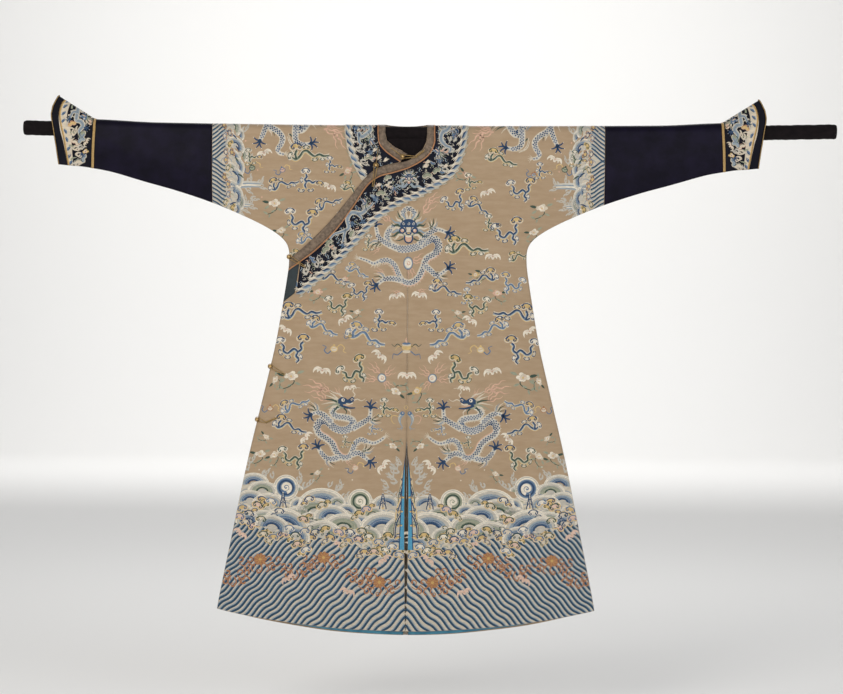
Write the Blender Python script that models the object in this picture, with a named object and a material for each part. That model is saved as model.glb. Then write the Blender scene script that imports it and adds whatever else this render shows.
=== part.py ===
"""Chinese dragon robe hung flat on a cloth-covered rod. Metres, +Z up, the front faces -Y.

Every cloth piece is cut in the plane that the front view shows, as rows of (x, drop), and is then laid on one
surface: over the rod at the top, closed at the underarms and sides, open at the neck, cuffs, hem and slits.
drop is the height below the rod's axis. From -1 to 0 it is the wrap over the rod instead, from its crest to
its front or back.
Left and right are the wearer's, so left is +X.
"""

import math

import bmesh
import bpy
import numpy as np
from mathutils import Vector

# Cloth and seams
SEAM = 0.0003
LAID_ON = 0.0005
WALL = 0.0016
LINING_WALL = 0.001
BAND_WALL = 0.0008
BINDING_WALL = 0.001
ROPE_WALL = 0.0012
LAYER = WALL + SEAM

# Rod and the cloth that hangs from it inside the neck
ROD_RADIUS = 0.021
ROD_ENDS = (-1.08, 1.20)
ROD_SPAN = 1.10
ROD_BOW = 0.012
DRAPE_WIDTH = 0.15
DRAPE_TOP = -0.013
DRAPE_FOOT = -0.128
DRAPE_FOLD = 0.0012
DRAPE_FOLDS = 4

# Body, in the front view
SLEEVE_SEAM = 0.55
WRIST_TOP = 0.880
WRIST_FOOT = 0.887
FRONT_HEM = -1.395
BACK_HEM = -1.409
HEM_CORNER_X = 0.529
HEM_CORNER_Z = -1.336
NECK_CENTRE = -0.0065
NECK_HALF_WIDTH = 0.0585
BACK_NECK_ANGLE = math.radians(30)
FRONT_SLIT_TOP = -0.865
FRONT_SLIT_BULGE = 0.0048
FRONT_SLIT_FOOT = 0.0012
BACK_SLIT_TOP = -0.95
BACK_SLIT_FOOT = 0.0065
UNDERLAP_EDGE = -0.035
UNDERLAP_RISE = 0.06
UNDERLAP_SINK = 0.002

# Depth of the hollow
WRAP = ROD_RADIUS + 0.0009
HANG = 0.0125
STRAIGHT_DROP = 0.02
EASE_DROP = 0.42
EDGE_ROLL = 0.09
FOLD_START = 0.45
FOLD_FULL = 1.3
FOLD_DEPTH = 0.0026
FOLD_WIDTHS = (0.27, 0.19)

# Grid of the body panels: columns near the centre and near the side, and those between them
NEAR_COLUMNS = (0.0, 0.030, 0.050, 0.070)
SIDE_COLUMNS = (0.092, 0.062, 0.038, 0.018, 0.0)
MIDDLE_COLUMNS = 4

# Other grid sizes
CAP_ROWS = 5
SLEEVE_COLUMNS = 7
CUFF_COLUMNS = 4
ARM_ROWS = 6
STRIP_STEPS = 3

# Trim
WRIST_BRAID = 0.007
ROPE_HALF = 0.009
PIPING_RADIUS = 0.0013
CUFF_CORD_RADIUS = 0.0014
CREST_GAP = 0.001
LOOP_RADIUS = 0.0013
BUTTON_RADIUS = 0.005
LOOP_TURN = (140, 95, 50, 0, -50, -95, -140)
LINING_HEM = 0.05
LINING_RAISE = 0.001
LINING_GAP = 0.0009
SLIT_FACING = 0.03
BAND_START = 2 * PIPING_RADIUS + 0.0012

# Lower edge of sleeve and cuff, then the underarm and the side down to the hem: half width, height
SILHOUETTE = (
    (1.030, -0.085),
    (0.961, -0.093),
    (0.920, -0.096),
    (0.887, -0.101),
    (0.830, -0.112),
    (0.740, -0.138),
    (0.650, -0.163),
    (0.550, -0.196),
    (0.465, -0.231),
    (0.417, -0.2535),
    (0.377, -0.276),
    (0.349, -0.2985),
    (0.336, -0.321),
    (0.333, -0.354),
    (0.339, -0.410),
    (0.367, -0.578),
    (0.392, -0.690),
    (0.445, -0.914),
    (0.491, -1.138),
    (0.5235, -1.300),
    (0.533, -1.362),
    (0.545, -1.430),
)

# Flared mouth of the cuff: height above the rod's axis, half width
CUFF_MOUTH = (
    (-0.100, 0.984),
    (-0.050, 0.989),
    (-0.010, 0.995),
    (0.035, 1.003),
    (0.060, 0.999),
    (0.095, 0.984),
)

# Rows of the body panels: height reached at the centre, height reached at the side, rows to there
BODY_SECTIONS = (
    (-0.080, -0.085, 4),
    (-0.165, -0.196, 3),
    (-0.330, -0.321, 4),
    (-0.440, -0.380, 2),
    (-0.560, -0.500, 2),
    (-1.000, -0.950, 4),
    (FRONT_HEM, HEM_CORNER_Z, 4),
)
OVERLAP_SECTIONS = (
    (-0.440, -0.410, 4),
    (-0.560, -0.500, 2),
    (-1.000, -0.950, 4),
    (FRONT_HEM, HEM_CORNER_Z, 4),
)

# Closing edge from the left of the neck down to the right side: edge, lower edge of the binding, rope border
CLOSING = (
    ("edge_x", "edge_z", "bind_x", "bind_z", "rope_x", "rope_z"),
    (0.052, 0.000, 0.071, 0.000, 0.156, 0.000),
    (0.050, -0.022, 0.070, -0.028, 0.149, -0.046),
    (0.040, -0.044, 0.052, -0.062, 0.116, -0.116),
    (0.004, -0.074, 0.008, -0.091, 0.025, -0.172),
    (-0.046, -0.087, -0.0395, -0.1075, -0.015, -0.187),
    (-0.092, -0.102, -0.083, -0.120, -0.042, -0.202),
    (-0.131, -0.138, -0.118, -0.1475, -0.058, -0.213),
    (-0.174, -0.193, -0.157, -0.2065, -0.101, -0.247),
    (-0.223, -0.252, -0.203, -0.269, -0.155, -0.309),
    (-0.276, -0.305, -0.258, -0.325, -0.212, -0.369),
    (-0.316, -0.340, -0.300, -0.3575, -0.304, -0.450),
    (-0.3325, -0.353, -0.3325, -0.3805, -0.320, -0.470),
)
CLOSING_BAND_ROWS = 11

# The same for the short stretch right of the neck, which runs in under the closing edge
INNER_CLOSING = (
    ("edge_x", "edge_z", "bind_x", "bind_z", "rope_x", "rope_z"),
    (-0.065, 0.000, -0.084, 0.000, -0.170, 0.000),
    (-0.061, -0.020, -0.079, -0.030, -0.164, -0.034),
    (-0.042, -0.037, -0.057, -0.054, -0.152, -0.074),
    (-0.003, -0.058, -0.022, -0.078, -0.120, -0.132),
)
CLOSING_GAP = 0.0015

# Border behind the neck: half width and depth of the rope border's line, about the neck's centre
BACK_BAND_HALF = 0.163
BACK_BAND_DEPTH = 0.099
BACK_BAND_SHOULDER = 0.006
BACK_STEPS = 8

# Patch at the end of the band: its edge towards the front, and its height at the side
SIDE_FACING = (
    ("front_x", "front_z", "side_z"),
    (-0.3035, -0.3655, -0.3865),
    (-0.3090, -0.4050, -0.4200),
    (-0.3165, -0.4490, -0.4740),
)

# Gilt buttons: name, ball, start and via points of the loop, end of the stem (x, z and height over the cloth)
BUTTONS = (
    ("name", "ball", "loop", "stem"),
    (
        "neck",
        (-0.016, -0.0655, 0.0106),
        ((0.0445, -0.0475, 0.0068), (0.020, -0.066, 0.0068)),
        (-0.050, -0.0405, 0.0049),
    ),
    (
        "collar",
        (-0.091, -0.0905, 0.0090),
        ((-0.099, -0.1505, 0.0083),),
        (-0.085, -0.0390, 0.0048),
    ),
    ("underarm", (-0.331, -0.347, 0.0106), ((-0.286, -0.376, 0.0083),), None),
    ("side_upper", (-0.3835, -0.655, 0.0096), ((-0.341, -0.679, 0.0062),), None),
    (
        "side_lower",
        (-0.419, -0.804, 0.0089),
        ((-0.364, -0.799, 0.0053), (-0.394, -0.812, 0.0053)),
        None,
    ),
)

# Plain colours
TAN = (0.39, 0.29, 0.17)
NAVY = (0.012, 0.014, 0.035)
BAND_NAVY = (0.012, 0.013, 0.025)
BORDER_BLUE = (0.45, 0.50, 0.55)
MAUVE = (0.22, 0.17, 0.145)
ORANGE = (0.55, 0.25, 0.10)
TURQUOISE = (0.06, 0.26, 0.42)
TEAL = (0.02, 0.04, 0.045)
GILT = (0.60, 0.38, 0.12)
BLACK = (0.008, 0.008, 0.010)
CUFF_BLUE = (0.10, 0.13, 0.20)

robe = bpy.data.collections.new("dragon_robe")
materials = {}


def clear_scene():
    for thing in list(bpy.data.objects):
        bpy.data.objects.remove(thing)
    bpy.context.scene.collection.children.link(robe)


def material(name, colour, roughness=0.7, metallic=0.0):
    if name not in materials:
        made = bpy.data.materials.new(name)
        made.use_nodes = True
        shader = made.node_tree.nodes["Principled BSDF"]
        shader.inputs["Base Color"].default_value = (*colour, 1)
        shader.inputs["Roughness"].default_value = roughness
        shader.inputs["Metallic"].default_value = metallic
        materials[name] = made
    return materials[name]


def smooth(t):
    t = min(1.0, max(0.0, t))
    return t * t * (3 - 2 * t)


def blend(a, b, t):
    return a + (b - a) * t


def spline(points, steps):
    """Points on a smooth curve through the given ones, steps to each stretch."""
    points = [np.array(p, float) for p in points]
    ends = [2 * points[0] - points[1], *points, 2 * points[-1] - points[-2]]
    found = []
    for before, a, b, after in zip(ends, ends[1:], ends[2:], ends[3:]):
        for k in range(steps):
            t = k / steps
            found.append(
                0.5
                * (
                    2 * a
                    + (b - before) * t
                    + (2 * before - 5 * a + 4 * b - after) * t**2
                    + (3 * a - before - 3 * b + after) * t**3
                )
            )
    return np.array([*found, points[-1]])


OUTLINE = spline(SILHOUETTE, 5)


def edge_x(height):
    """Half width of the body at a height below the sleeve."""
    return float(np.interp(-height, -OUTLINE[:, 1], OUTLINE[:, 0]))


def arm_z(x):
    """Height of the lower edge of sleeve and cuff."""
    return float(np.interp(-abs(x), -OUTLINE[:, 0], OUTLINE[:, 1]))


def inside_edge(x, height):
    """Distance inwards from the lower edge and the sides, negative outside."""
    here = np.array((abs(x), height))
    start, along = OUTLINE[:-1], np.diff(OUTLINE, axis=0)
    share = np.clip(((here - start) * along).sum(1) / (along**2).sum(1), 0, 1)
    away = here - start - share[:, None] * along
    nearest = int(np.argmin((away**2).sum(1)))
    side = along[nearest, 1] * away[nearest, 0] - along[nearest, 0] * away[nearest, 1]
    return math.copysign(float(np.hypot(*away[nearest])), side)


def rod_axis(x):
    return ROD_BOW * (x / ROD_SPAN) ** 2


def cap_height(x):
    """How far the cloth's crest is above the rod's axis: on the rod, and rising to the flared cuff."""
    x = abs(x)
    at_wrist = WRAP + 0.0052 * smooth((x - 0.70) / 0.18)
    return at_wrist + max(0.0, x - WRIST_TOP) * 0.61


def folds(side, x, drop):
    grown = smooth((drop - FOLD_START) / (FOLD_FULL - FOLD_START))
    shift = 0.6 if side < 0 else 2.9
    wave = math.sin(2 * math.pi * x / FOLD_WIDTHS[0] + shift)
    second = math.sin(2 * math.pi * x / FOLD_WIDTHS[1] + 2 * shift)
    return FOLD_DEPTH * grown * (wave + 0.5 * second)


def half_depth(side, x, height, drop):
    """Distance of the inner face from the plane between front and back."""
    inside = inside_edge(x, height)
    roll = math.sin(min(1.0, max(0.0, inside / EDGE_ROLL)) * math.pi / 2)
    hang = blend(WRAP, HANG, smooth((drop - STRAIGHT_DROP) / EASE_DROP))
    return roll * (hang + folds(side, x, drop))


def inner_face(side, x, drop):
    if drop < 0:
        angle = (1 + drop) * math.pi / 2
        depth = SEAM / 2 + WRAP * math.sin(angle)
        return Vector(
            (x, side * depth, rod_axis(x) + cap_height(x) * math.cos(angle))
        )
    height = rod_axis(x) - drop
    depth = SEAM / 2 + half_depth(side, x, height, drop)
    return Vector((x, side * depth, height))


def on_cloth(side, x, drop, out):
    """Point at a distance out from the inner face."""
    step = 0.002
    along = inner_face(side, x + step, drop) - inner_face(side, x - step, drop)
    down = inner_face(side, x, drop + step) - inner_face(side, x, drop - step)
    return inner_face(side, x, drop) + side * along.cross(down).normalized() * out


def drop_at(x, height):
    """The drop of a point of the front view."""
    above = height - rod_axis(x)
    if above <= 0:
        return -above
    return math.acos(min(1.0, above / cap_height(x))) / (math.pi / 2) - 1


def outer_layer(x, drop):
    """The left front and the overlap lie one layer out where the underlap is behind them."""
    return LAYER * smooth(drop / 0.05) * (1 - smooth((x - 0.03) / 0.12))


def keep(name, mesh_or_curve, look):
    made = bpy.data.objects.new(name, mesh_or_curve)
    made.data.materials.append(look)
    robe.objects.link(made)
    return made


def under_layer(x, drop):
    """The underlap sinks a little behind the overlap, away from the side seam."""
    if drop < 0:
        return 0.0
    height = rod_axis(x) - drop
    covered = smooth((closing_z(x) - height) / 0.06)
    return -UNDERLAP_SINK * covered * smooth(inside_edge(x, height) / 0.03)


def one_layer(x, drop):
    return 0.0


def cloth(name, side, rows, thickness, look, base=0.0, layer=one_layer):
    """A wall over a grid of (x, drop): the grid is extruded once, and its two layers are laid on the surface."""
    if rows[0][0][0] > rows[0][-1][0]:
        rows = [row[::-1] for row in rows]
    across, along = len(rows[0]) - 1, len(rows) - 1
    work = bmesh.new()
    bmesh.ops.create_grid(work, x_segments=across, y_segments=along, size=1)
    whole = [*work.verts, *work.edges, *work.faces]
    raised = bmesh.ops.extrude_face_region(work, geom=whole, use_keep_orig=True)
    outer = {item for item in raised["geom"] if isinstance(item, bmesh.types.BMVert)}
    for vert in work.verts:
        column = round((vert.co.x + 1) / 2 * across)
        x, drop = rows[round((vert.co.y + 1) / 2 * along)][column]
        out = base + layer(x, drop)
        vert.co = on_cloth(side, x, drop, out + (thickness if vert in outer else 0))
    bmesh.ops.recalc_face_normals(work, faces=work.faces)
    mesh = bpy.data.meshes.new(name)
    work.to_mesh(mesh)
    work.free()
    mesh.shade_smooth()
    mesh.set_sharp_from_angle(angle=math.radians(40))
    return keep(name, mesh, look)


def cord(name, points, radius, look, resolution=1):
    curve = bpy.data.curves.new(name, "CURVE")
    curve.dimensions = "3D"
    curve.bevel_depth = radius
    curve.bevel_resolution = resolution
    curve.use_fill_caps = True
    line = curve.splines.new("POLY")
    line.points.add(len(points) - 1)
    for point, place in zip(line.points, points):
        point.co = (*place, 1)
    return keep(name, curve, look)


def hem_height(x, middle):
    return middle + (HEM_CORNER_Z - middle) * (x / HEM_CORNER_X) ** 2


def section_heights(top, sections):
    """(centre, side) heights of each row from the top pair down to the hem."""
    rows = [top]
    for centre, side, steps in sections:
        start = rows[-1]
        for k in range(1, steps + 1):
            rows.append(
                (
                    blend(start[0], centre, k / steps),
                    blend(start[1], side, k / steps),
                )
            )
    return rows


def shares(start, end, near=NEAR_COLUMNS):
    """Shares of a row's width at which the body panels have their columns, from the centre to the side."""
    width = abs(end - start)
    places = [*near[:-1]]
    inner, outer = near[-1], width - SIDE_COLUMNS[0]
    places += [blend(inner, outer, k / (MIDDLE_COLUMNS + 1)) for k in range(MIDDLE_COLUMNS + 1)]
    places += [width - d for d in SIDE_COLUMNS]
    return [p / width for p in places]


def even(count):
    return lambda start, end: [k / count for k in range(count + 1)]


def patch(left, right, top, bottom, columns_of):
    """Grid between two edges of the front view, with top and bottom as functions of x."""
    rows = []
    last = len(left) - 1
    ends = ((left[0], right[0], top), (left[-1], right[-1], bottom))
    for k, (a, b) in enumerate(zip(left, right)):
        v = k / last
        row = []
        for u in columns_of(a[0], b[0]):
            x, z = blend(a[0], b[0], u), blend(a[1], b[1], u)
            for (c, d, edge), weight in zip(ends, (1 - v, v)):
                at = blend(c[0], d[0], u)
                z += weight * (edge(at) - blend(edge(c[0]), edge(d[0]), u))
            row.append((x, z))
        rows.append(row)
    return rows


def dropped(rows):
    return [[(x, rod_axis(x) - z) for x, z in row] for row in rows]


def line(a, b, count):
    return [
        (blend(a[0], b[0], k / count), blend(a[1], b[1], k / count))
        for k in range(count + 1)
    ]


def with_cap(rows, start=None):
    """Adds the rows over the rod above the first row, from a start angle for each x."""
    start = start or (lambda x: 0.0)
    cap = []
    for k in range(CAP_ROWS):
        share = k / CAP_ROWS
        cap.append(
            [
                (x, blend(start(x) / (math.pi / 2), 1, share) - 1)
                for x, _ in rows[0]
            ]
        )
    return cap + rows


def columns(table, name):
    """Points of one edge of a table, such as edge, bind or rope."""
    at = table[0].index(name + "_x")
    return [(row[at], row[at + 1]) for row in table[1:]]


def front_neck_x(height):
    edge = columns(CLOSING, "edge")[:4]
    edge.append((SEAM / 2, -0.077))
    return float(
        np.interp(-height, [-z for _, z in edge], [x for x, _ in edge])
    )


def front_slit(height):
    if height > FRONT_SLIT_TOP:
        return SEAM / 2
    down = (FRONT_SLIT_TOP - height) / (FRONT_SLIT_TOP - FRONT_HEM)
    bulge = FRONT_SLIT_BULGE * math.sin(math.pi * min(1.0, down) ** 0.6)
    return SEAM / 2 + bulge + FRONT_SLIT_FOOT * down


def front_left_x(height):
    return max(front_neck_x(height), front_slit(height))


def back_slit(height):
    if height > BACK_SLIT_TOP:
        return SEAM / 2
    down = (BACK_SLIT_TOP - height) / (BACK_SLIT_TOP - BACK_HEM)
    return SEAM / 2 + BACK_SLIT_FOOT * down**2


def underlap_x(height):
    edge = columns(INNER_CLOSING, "edge")[:3]
    edge += [(-0.014, -0.051), (-0.022, -0.080), (UNDERLAP_EDGE, -0.110)]
    return float(
        np.interp(-height, [-z for _, z in edge], [x for x, _ in edge])
    )


def side_x(height):
    corner = SILHOUETTE[7][1]
    return SLEEVE_SEAM - SEAM / 2 if height >= corner else edge_x(height)


def body_panel(name, side, hand, centre_x, hem, layer=one_layer, start=None, columns_of=shares):
    """A panel from the shoulder to the hem. hand is 1 on the wearer's left and -1 on the right."""
    sections = [*BODY_SECTIONS[:-1], (hem(0), hem(HEM_CORNER_X), BODY_SECTIONS[-1][2])]
    heights = section_heights((0.0, rod_axis(SLEEVE_SEAM)), sections)
    centre = [(centre_x(c), c) for c, _ in heights]
    outer = [(hand * side_x(s), s) for _, s in heights]
    rows = dropped(patch(centre, outer, rod_axis, hem, columns_of))
    rows = with_cap(rows, start)
    return cloth(name, side, rows, WALL, material("kesi", TAN), layer=layer)


def front_hem(x):
    return hem_height(x, FRONT_HEM)


def back_hem(x):
    return hem_height(x, BACK_HEM)


def back_neck_angle(x):
    across = (x - NECK_CENTRE) / NECK_HALF_WIDTH
    return BACK_NECK_ANGLE * math.sqrt(max(0.0, 1 - across**2))


def closing_edge():
    """The overlap's top edge, from the centre seam down to the side."""
    edge = spline(columns(CLOSING, "edge")[3:], 6)
    return np.vstack([(-SEAM / 2, -0.077), edge[edge[:, 0] < -0.004]])


def closing_z(x):
    edge = closing_edge()
    return float(np.interp(-x, -edge[:, 0], edge[:, 1]))


def overlap_panel():
    edge = closing_edge()
    heights = section_heights((edge[0][1], edge[-1][1]), OVERLAP_SECTIONS)
    centre = [(-front_slit(c), c) for c, _ in heights]
    outer = [(-edge_x(s), s) for _, s in heights]
    outer[0] = tuple(edge[-1])
    rows = dropped(patch(centre, outer, closing_z, front_hem, shares))
    cloth("front_overlap", -1, rows, WALL, material("kesi", TAN), layer=outer_layer)


def underlap_hem(x):
    return front_hem(x) + UNDERLAP_RISE


def underlap_shares(start, end):
    """The overlap's own columns where it covers the underlap."""
    near = max(0.040, NEAR_COLUMNS[-1] - abs(start))
    return shares(start, end, (0.0, near))


def body():
    body_panel("front_left", -1, 1, front_left_x, front_hem, outer_layer)
    body_panel("front_inner", -1, -1, underlap_x, underlap_hem, under_layer, columns_of=underlap_shares)
    overlap_panel()
    body_panel("back_left", 1, 1, back_slit, back_hem, start=back_neck_angle)
    body_panel("back_right", 1, -1, lambda z: -back_slit(z), back_hem, start=back_neck_angle)


def wrist_x(height):
    below = max(0.0, rod_axis(WRIST_TOP) - height)
    return blend(WRIST_TOP, WRIST_FOOT, below / 0.11)


def mouth_x(height):
    """Half width of the cuff's mouth at a height above the rod's axis there."""
    return float(
        np.interp(height, [h for h, _ in CUFF_MOUTH], [x for _, x in CUFF_MOUTH])
    )


def mouth_cap():
    """x of the mouth on each row over the rod."""
    found = []
    for k in range(CAP_ROWS + 1):
        x = CUFF_MOUTH[-1][1]
        for _ in range(6):
            x = mouth_x(cap_height(x) * math.cos(k / CAP_ROWS * math.pi / 2))
        found.append(x)
    return found


def arm_rows(x_start, x_end, across):
    """Rows of a sleeve or cuff, right-hand copies mirrored by their caller."""
    start = [(x_start, z) for z in np.linspace(rod_axis(x_start), arm_z(x_start), ARM_ROWS + 1)]
    end_heights = np.linspace(rod_axis(WRIST_TOP), arm_z(WRIST_FOOT), ARM_ROWS + 1)
    end = [(x_end(z), z) for z in end_heights]
    return with_cap(dropped(patch(start, end, rod_axis, arm_z, even(across))))


def cuff_rows():
    wrist_heights = np.linspace(rod_axis(WRIST_TOP), arm_z(WRIST_FOOT), ARM_ROWS + 1)
    start = [(wrist_x(z) + SEAM, z) for z in wrist_heights]
    mouth_foot = 0.984
    axis = rod_axis(mouth_foot)
    end_heights = np.linspace(axis, arm_z(mouth_foot), ARM_ROWS + 1)
    end = [(mouth_x(z - axis), z) for z in end_heights]
    rows = dropped(patch(start, end, rod_axis, arm_z, even(CUFF_COLUMNS)))
    cap = [
        [(x, k / CAP_ROWS - 1) for x, _ in line((WRIST_TOP + SEAM, 0), (mouth, 0), CUFF_COLUMNS)]
        for k, mouth in enumerate(mouth_cap()[:-1])
    ]
    return cap + rows


def mirrored(rows, hand):
    return [[(hand * x, drop) for x, drop in row] for row in rows]


def beside(rows, column, shift, width):
    """A strip of two columns along one edge of a grid."""
    return [
        [(row[column][0] + shift, row[column][1]), (row[column][0] + shift + width, row[column][1])]
        for row in rows
    ]


def arms():
    sleeve = arm_rows(SLEEVE_SEAM + SEAM / 2, wrist_x, SLEEVE_COLUMNS)
    cuff = cuff_rows()
    braid = beside(sleeve, -1, -WRIST_BRAID / 2, WRIST_BRAID)
    for hand, word in ((1, "left"), (-1, "right")):
        for side, face in ((-1, "front"), (1, "back")):
            tail = f"{word}_{face}"
            cloth(f"sleeve_{tail}", side, mirrored(sleeve, hand), WALL, material("navy_satin", NAVY, 0.45))
            cloth(f"cuff_{tail}", side, mirrored(cuff, hand), WALL, material("cuff_silk", CUFF_BLUE))
            cloth(
                f"wrist_braid_{tail}",
                side,
                mirrored(braid, hand),
                BAND_WALL,
                material("gold_braid", GILT, 0.4),
                base=WALL + LAID_ON,
            )
            edge = [(hand * (row[-1][0] - 0.002), row[-1][1]) for row in cuff]
            level = WALL + LAID_ON + CUFF_CORD_RADIUS
            points = [on_cloth(side, x, drop, level) for x, drop in edge]
            points[0].y += side * CREST_GAP
            cord(f"cuff_cord_{tail}", points, CUFF_CORD_RADIUS, material("gold_braid", GILT, 0.4))


def rungs(table, first, second, rows, shift_first=0.0, shift_second=0.0):
    """Pairs of points across a border, each end moved along its rung, with the rows over the rod in front."""
    pairs = []
    for a, b in zip(columns(table, first)[:rows], columns(table, second)[:rows]):
        a, b = np.array(a), np.array(b)
        along = (b - a) / np.hypot(*(b - a))
        pairs.append((*(a + along * shift_first), *(b + along * shift_second)))
    return spline(pairs, STRIP_STEPS)


def strip_rows(pairs, across):
    return with_cap(dropped([line(p[:2], p[2:], across) for p in pairs]))


def above_closing(rows):
    """Lifts the lower end of the inner borders onto the closing edge."""
    lifted = []
    for row in rows:
        limits = [rod_axis(x) - closing_z(x) - CLOSING_GAP for x, _ in row]
        lifted.append([(x, min(drop, most)) for (x, drop), most in zip(row, limits)])
    return lifted


def rope_edges(table, rows):
    """The rope border's edges, square to its line, with the one nearer the binding first."""
    middle = spline(columns(table, "rope")[:rows], STRIP_STEPS)
    square = across_line(middle)
    square[0] = (math.copysign(ROPE_HALF, square[0][0]), 0)
    if abs(middle[0][0] - square[0][0]) > abs(middle[0][0] + square[0][0]):
        square = -square
    return middle - square, middle + square


def across_line(middle):
    along = np.gradient(middle, axis=0)
    along /= np.hypot(*along.T)[:, None]
    return np.stack([-along[:, 1], along[:, 0]], axis=1) * ROPE_HALF


def border(tail, table, band_rows, layer, fit):
    """Band, binding, piping and rope border along one table."""
    base = WALL + LAID_ON
    near, far = rope_edges(table, band_rows)
    inner = rungs(table, "bind", "rope", band_rows, BAND_START)[:, :2]
    outer = near + (near - far) / np.hypot(*(near - far).T)[:, None] * LAID_ON
    band = fit(strip_rows(np.hstack([inner, outer]), 3))
    edging = fit(strip_rows(rungs(table, "edge", "bind", len(table) - 1, 0.0, -SEAM), 1))
    rope = fit(strip_rows(np.hstack([near, far]), 1))
    for name, rows, wall, look in (
        ("band", band, BAND_WALL, material("band_silk", BAND_NAVY)),
        ("binding", edging, BINDING_WALL, material("binding_silk", MAUVE)),
        ("rope_border", rope, ROPE_WALL, material("rope_border", BORDER_BLUE)),
    ):
        cloth(f"{name}_{tail}", -1, rows, wall, look, base, layer)
    piped = rungs(table, "edge", "bind", len(table) - 1, 0.0, PIPING_RADIUS + LAID_ON)[:, 2:]
    route = [row[0] for row in fit(with_cap(dropped([[p] for p in piped])))]
    route = [p for p, q in zip(route, [*route[1:], None]) if q is None or not np.allclose(p, q)]
    points = []
    for x, drop in route:
        points.append(on_cloth(-1, x, drop, base + PIPING_RADIUS + layer(x, drop)))
    cord(f"piping_{tail}", points, PIPING_RADIUS, material("piping", ORANGE, 0.6))


def borders():
    border("outer", CLOSING, CLOSING_BAND_ROWS, outer_layer, lambda rows: rows)
    border("inner", INNER_CLOSING, len(INNER_CLOSING) - 1, under_layer, above_closing)


def back_band_z(x, half, depth):
    across = min(1.0, abs(x - NECK_CENTRE) / half)
    return -BACK_BAND_SHOULDER - depth * (1 - across**2.6)


def back_border():
    """Band, binding, piping and rope border behind the neck."""
    base = WALL + LAID_ON
    route = []
    for k in range(-BACK_STEPS, BACK_STEPS + 1):
        x = NECK_CENTRE + BACK_BAND_HALF * k / BACK_STEPS
        route.append((x, back_band_z(x, BACK_BAND_HALF, BACK_BAND_DEPTH)))
    route = np.array(route)
    square = across_line(route)
    square[0], square[-1] = (ROPE_HALF, 0), (-ROPE_HALF, 0)
    if square[BACK_STEPS][1] < 0:
        square[1:-1] = -square[1:-1]
    inner, outer = route + square, route - square
    middle = dropped([line(p, q, 1) for p, q in zip(inner, outer)])
    rising = [[(x, k / CAP_ROWS - 1) for x, _ in middle[0]] for k in range(CAP_ROWS + 1)]
    falling = [[(x, -k / CAP_ROWS) for x, _ in middle[-1]] for k in range(CAP_ROWS + 1)]
    rope = rising + middle + falling
    cloth("rope_border_back", 1, rope, ROPE_WALL, material("rope_border", BORDER_BLUE), base=base)
    ends = (inner[0][0] + LAID_ON, inner[-1][0] - LAID_ON)
    panel_columns = [hand * c for hand in (-1, 1) for c in (0.131, *NEAR_COLUMNS[1:])]
    xs = sorted([*ends, 0.0, *(x for x in panel_columns if ends[0] + 0.01 < x < ends[1] - 0.01)])
    depths = [-float(np.interp(x, inner[:, 0], inner[:, 1])) - LAID_ON for x in xs]
    below = [[(x, depth * k / 3) for x, depth in zip(xs, depths)] for k in range(4)]
    band = with_cap(below, back_neck_angle)
    cloth("band_back", 1, band, BAND_WALL, material("band_silk", BAND_NAVY), base=base)
    left, right = (columns(table, "bind")[0][0] for table in (INNER_CLOSING, CLOSING))
    across = [left, *(x for x in xs if left + 0.004 < x < right - 0.004), right]
    on_band = base + BAND_WALL + SEAM
    edging = with_cap([[(x, 0.0) for x in across]], back_neck_angle)[:4]
    cloth("binding_back", 1, edging, BINDING_WALL, material("binding_silk", MAUVE), base=on_band)
    below_binding = (PIPING_RADIUS + LAID_ON) / (WRAP * math.pi / 2)
    points = [on_cloth(1, x, drop + below_binding, on_band + PIPING_RADIUS) for x, drop in edging[-1]]
    cord("piping_back", points, PIPING_RADIUS, material("piping", ORANGE, 0.6))


def side_facing():
    rows = [line((x, z), (-edge_x(side) + LAID_ON, side), 1) for x, z, side in SIDE_FACING[1:]]
    look = material("facing", TEAL)
    cloth("side_facing", -1, dropped(rows), BAND_WALL, look, WALL + LAID_ON, outer_layer)


def hem_lining(name, side, hand, slit, hem):
    """Strip inside the hem, on the panel's own columns, up to where the hollow closes at the side."""
    heights = [hem(0) + LINING_RAISE + LINING_HEM * k / 2 for k in (2, 1, 0)]
    corner = [hem(HEM_CORNER_X) + LINING_RAISE + LINING_HEM * k / 2 for k in (2, 1, 0)]
    centre = [(hand * (slit(z) + LAID_ON), z) for z in heights]
    outer = [(hand * edge_x(z), z) for z in corner]
    rows = [row[:-1] for row in dropped(patch(centre, outer, hem, hem, shares))]
    layer = outer_layer if side < 0 else one_layer
    base = -LINING_GAP - LINING_WALL
    cloth(name, side, rows, LINING_WALL, material("lining", TURQUOISE, 0.5), base, layer)


def slit_facing(name, hand):
    """Strip inside the front slit's edge, above the hem's lining."""
    foot = FRONT_HEM + LINING_HEM + 2 * LINING_RAISE
    heights = [blend(FRONT_SLIT_TOP + SLIT_FACING, foot, k / 6) for k in range(7)]
    rows = [line((hand * (front_slit(z) + LAID_ON), z), (hand * SLIT_FACING, z), 1) for z in heights]
    base = -LINING_GAP - LINING_WALL
    cloth(name, -1, dropped(rows), LINING_WALL, material("lining", TURQUOISE, 0.5), base, outer_layer)


def linings():
    for word, side, hand, slit, hem in (
        ("front_left", -1, 1, front_slit, front_hem),
        ("front_overlap", -1, -1, front_slit, front_hem),
        ("back_left", 1, 1, back_slit, back_hem),
        ("back_right", 1, -1, back_slit, back_hem),
    ):
        hem_lining(f"hem_lining_{word}", side, hand, slit, hem)
    slit_facing("slit_facing_left", 1)
    slit_facing("slit_facing_overlap", -1)


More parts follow.
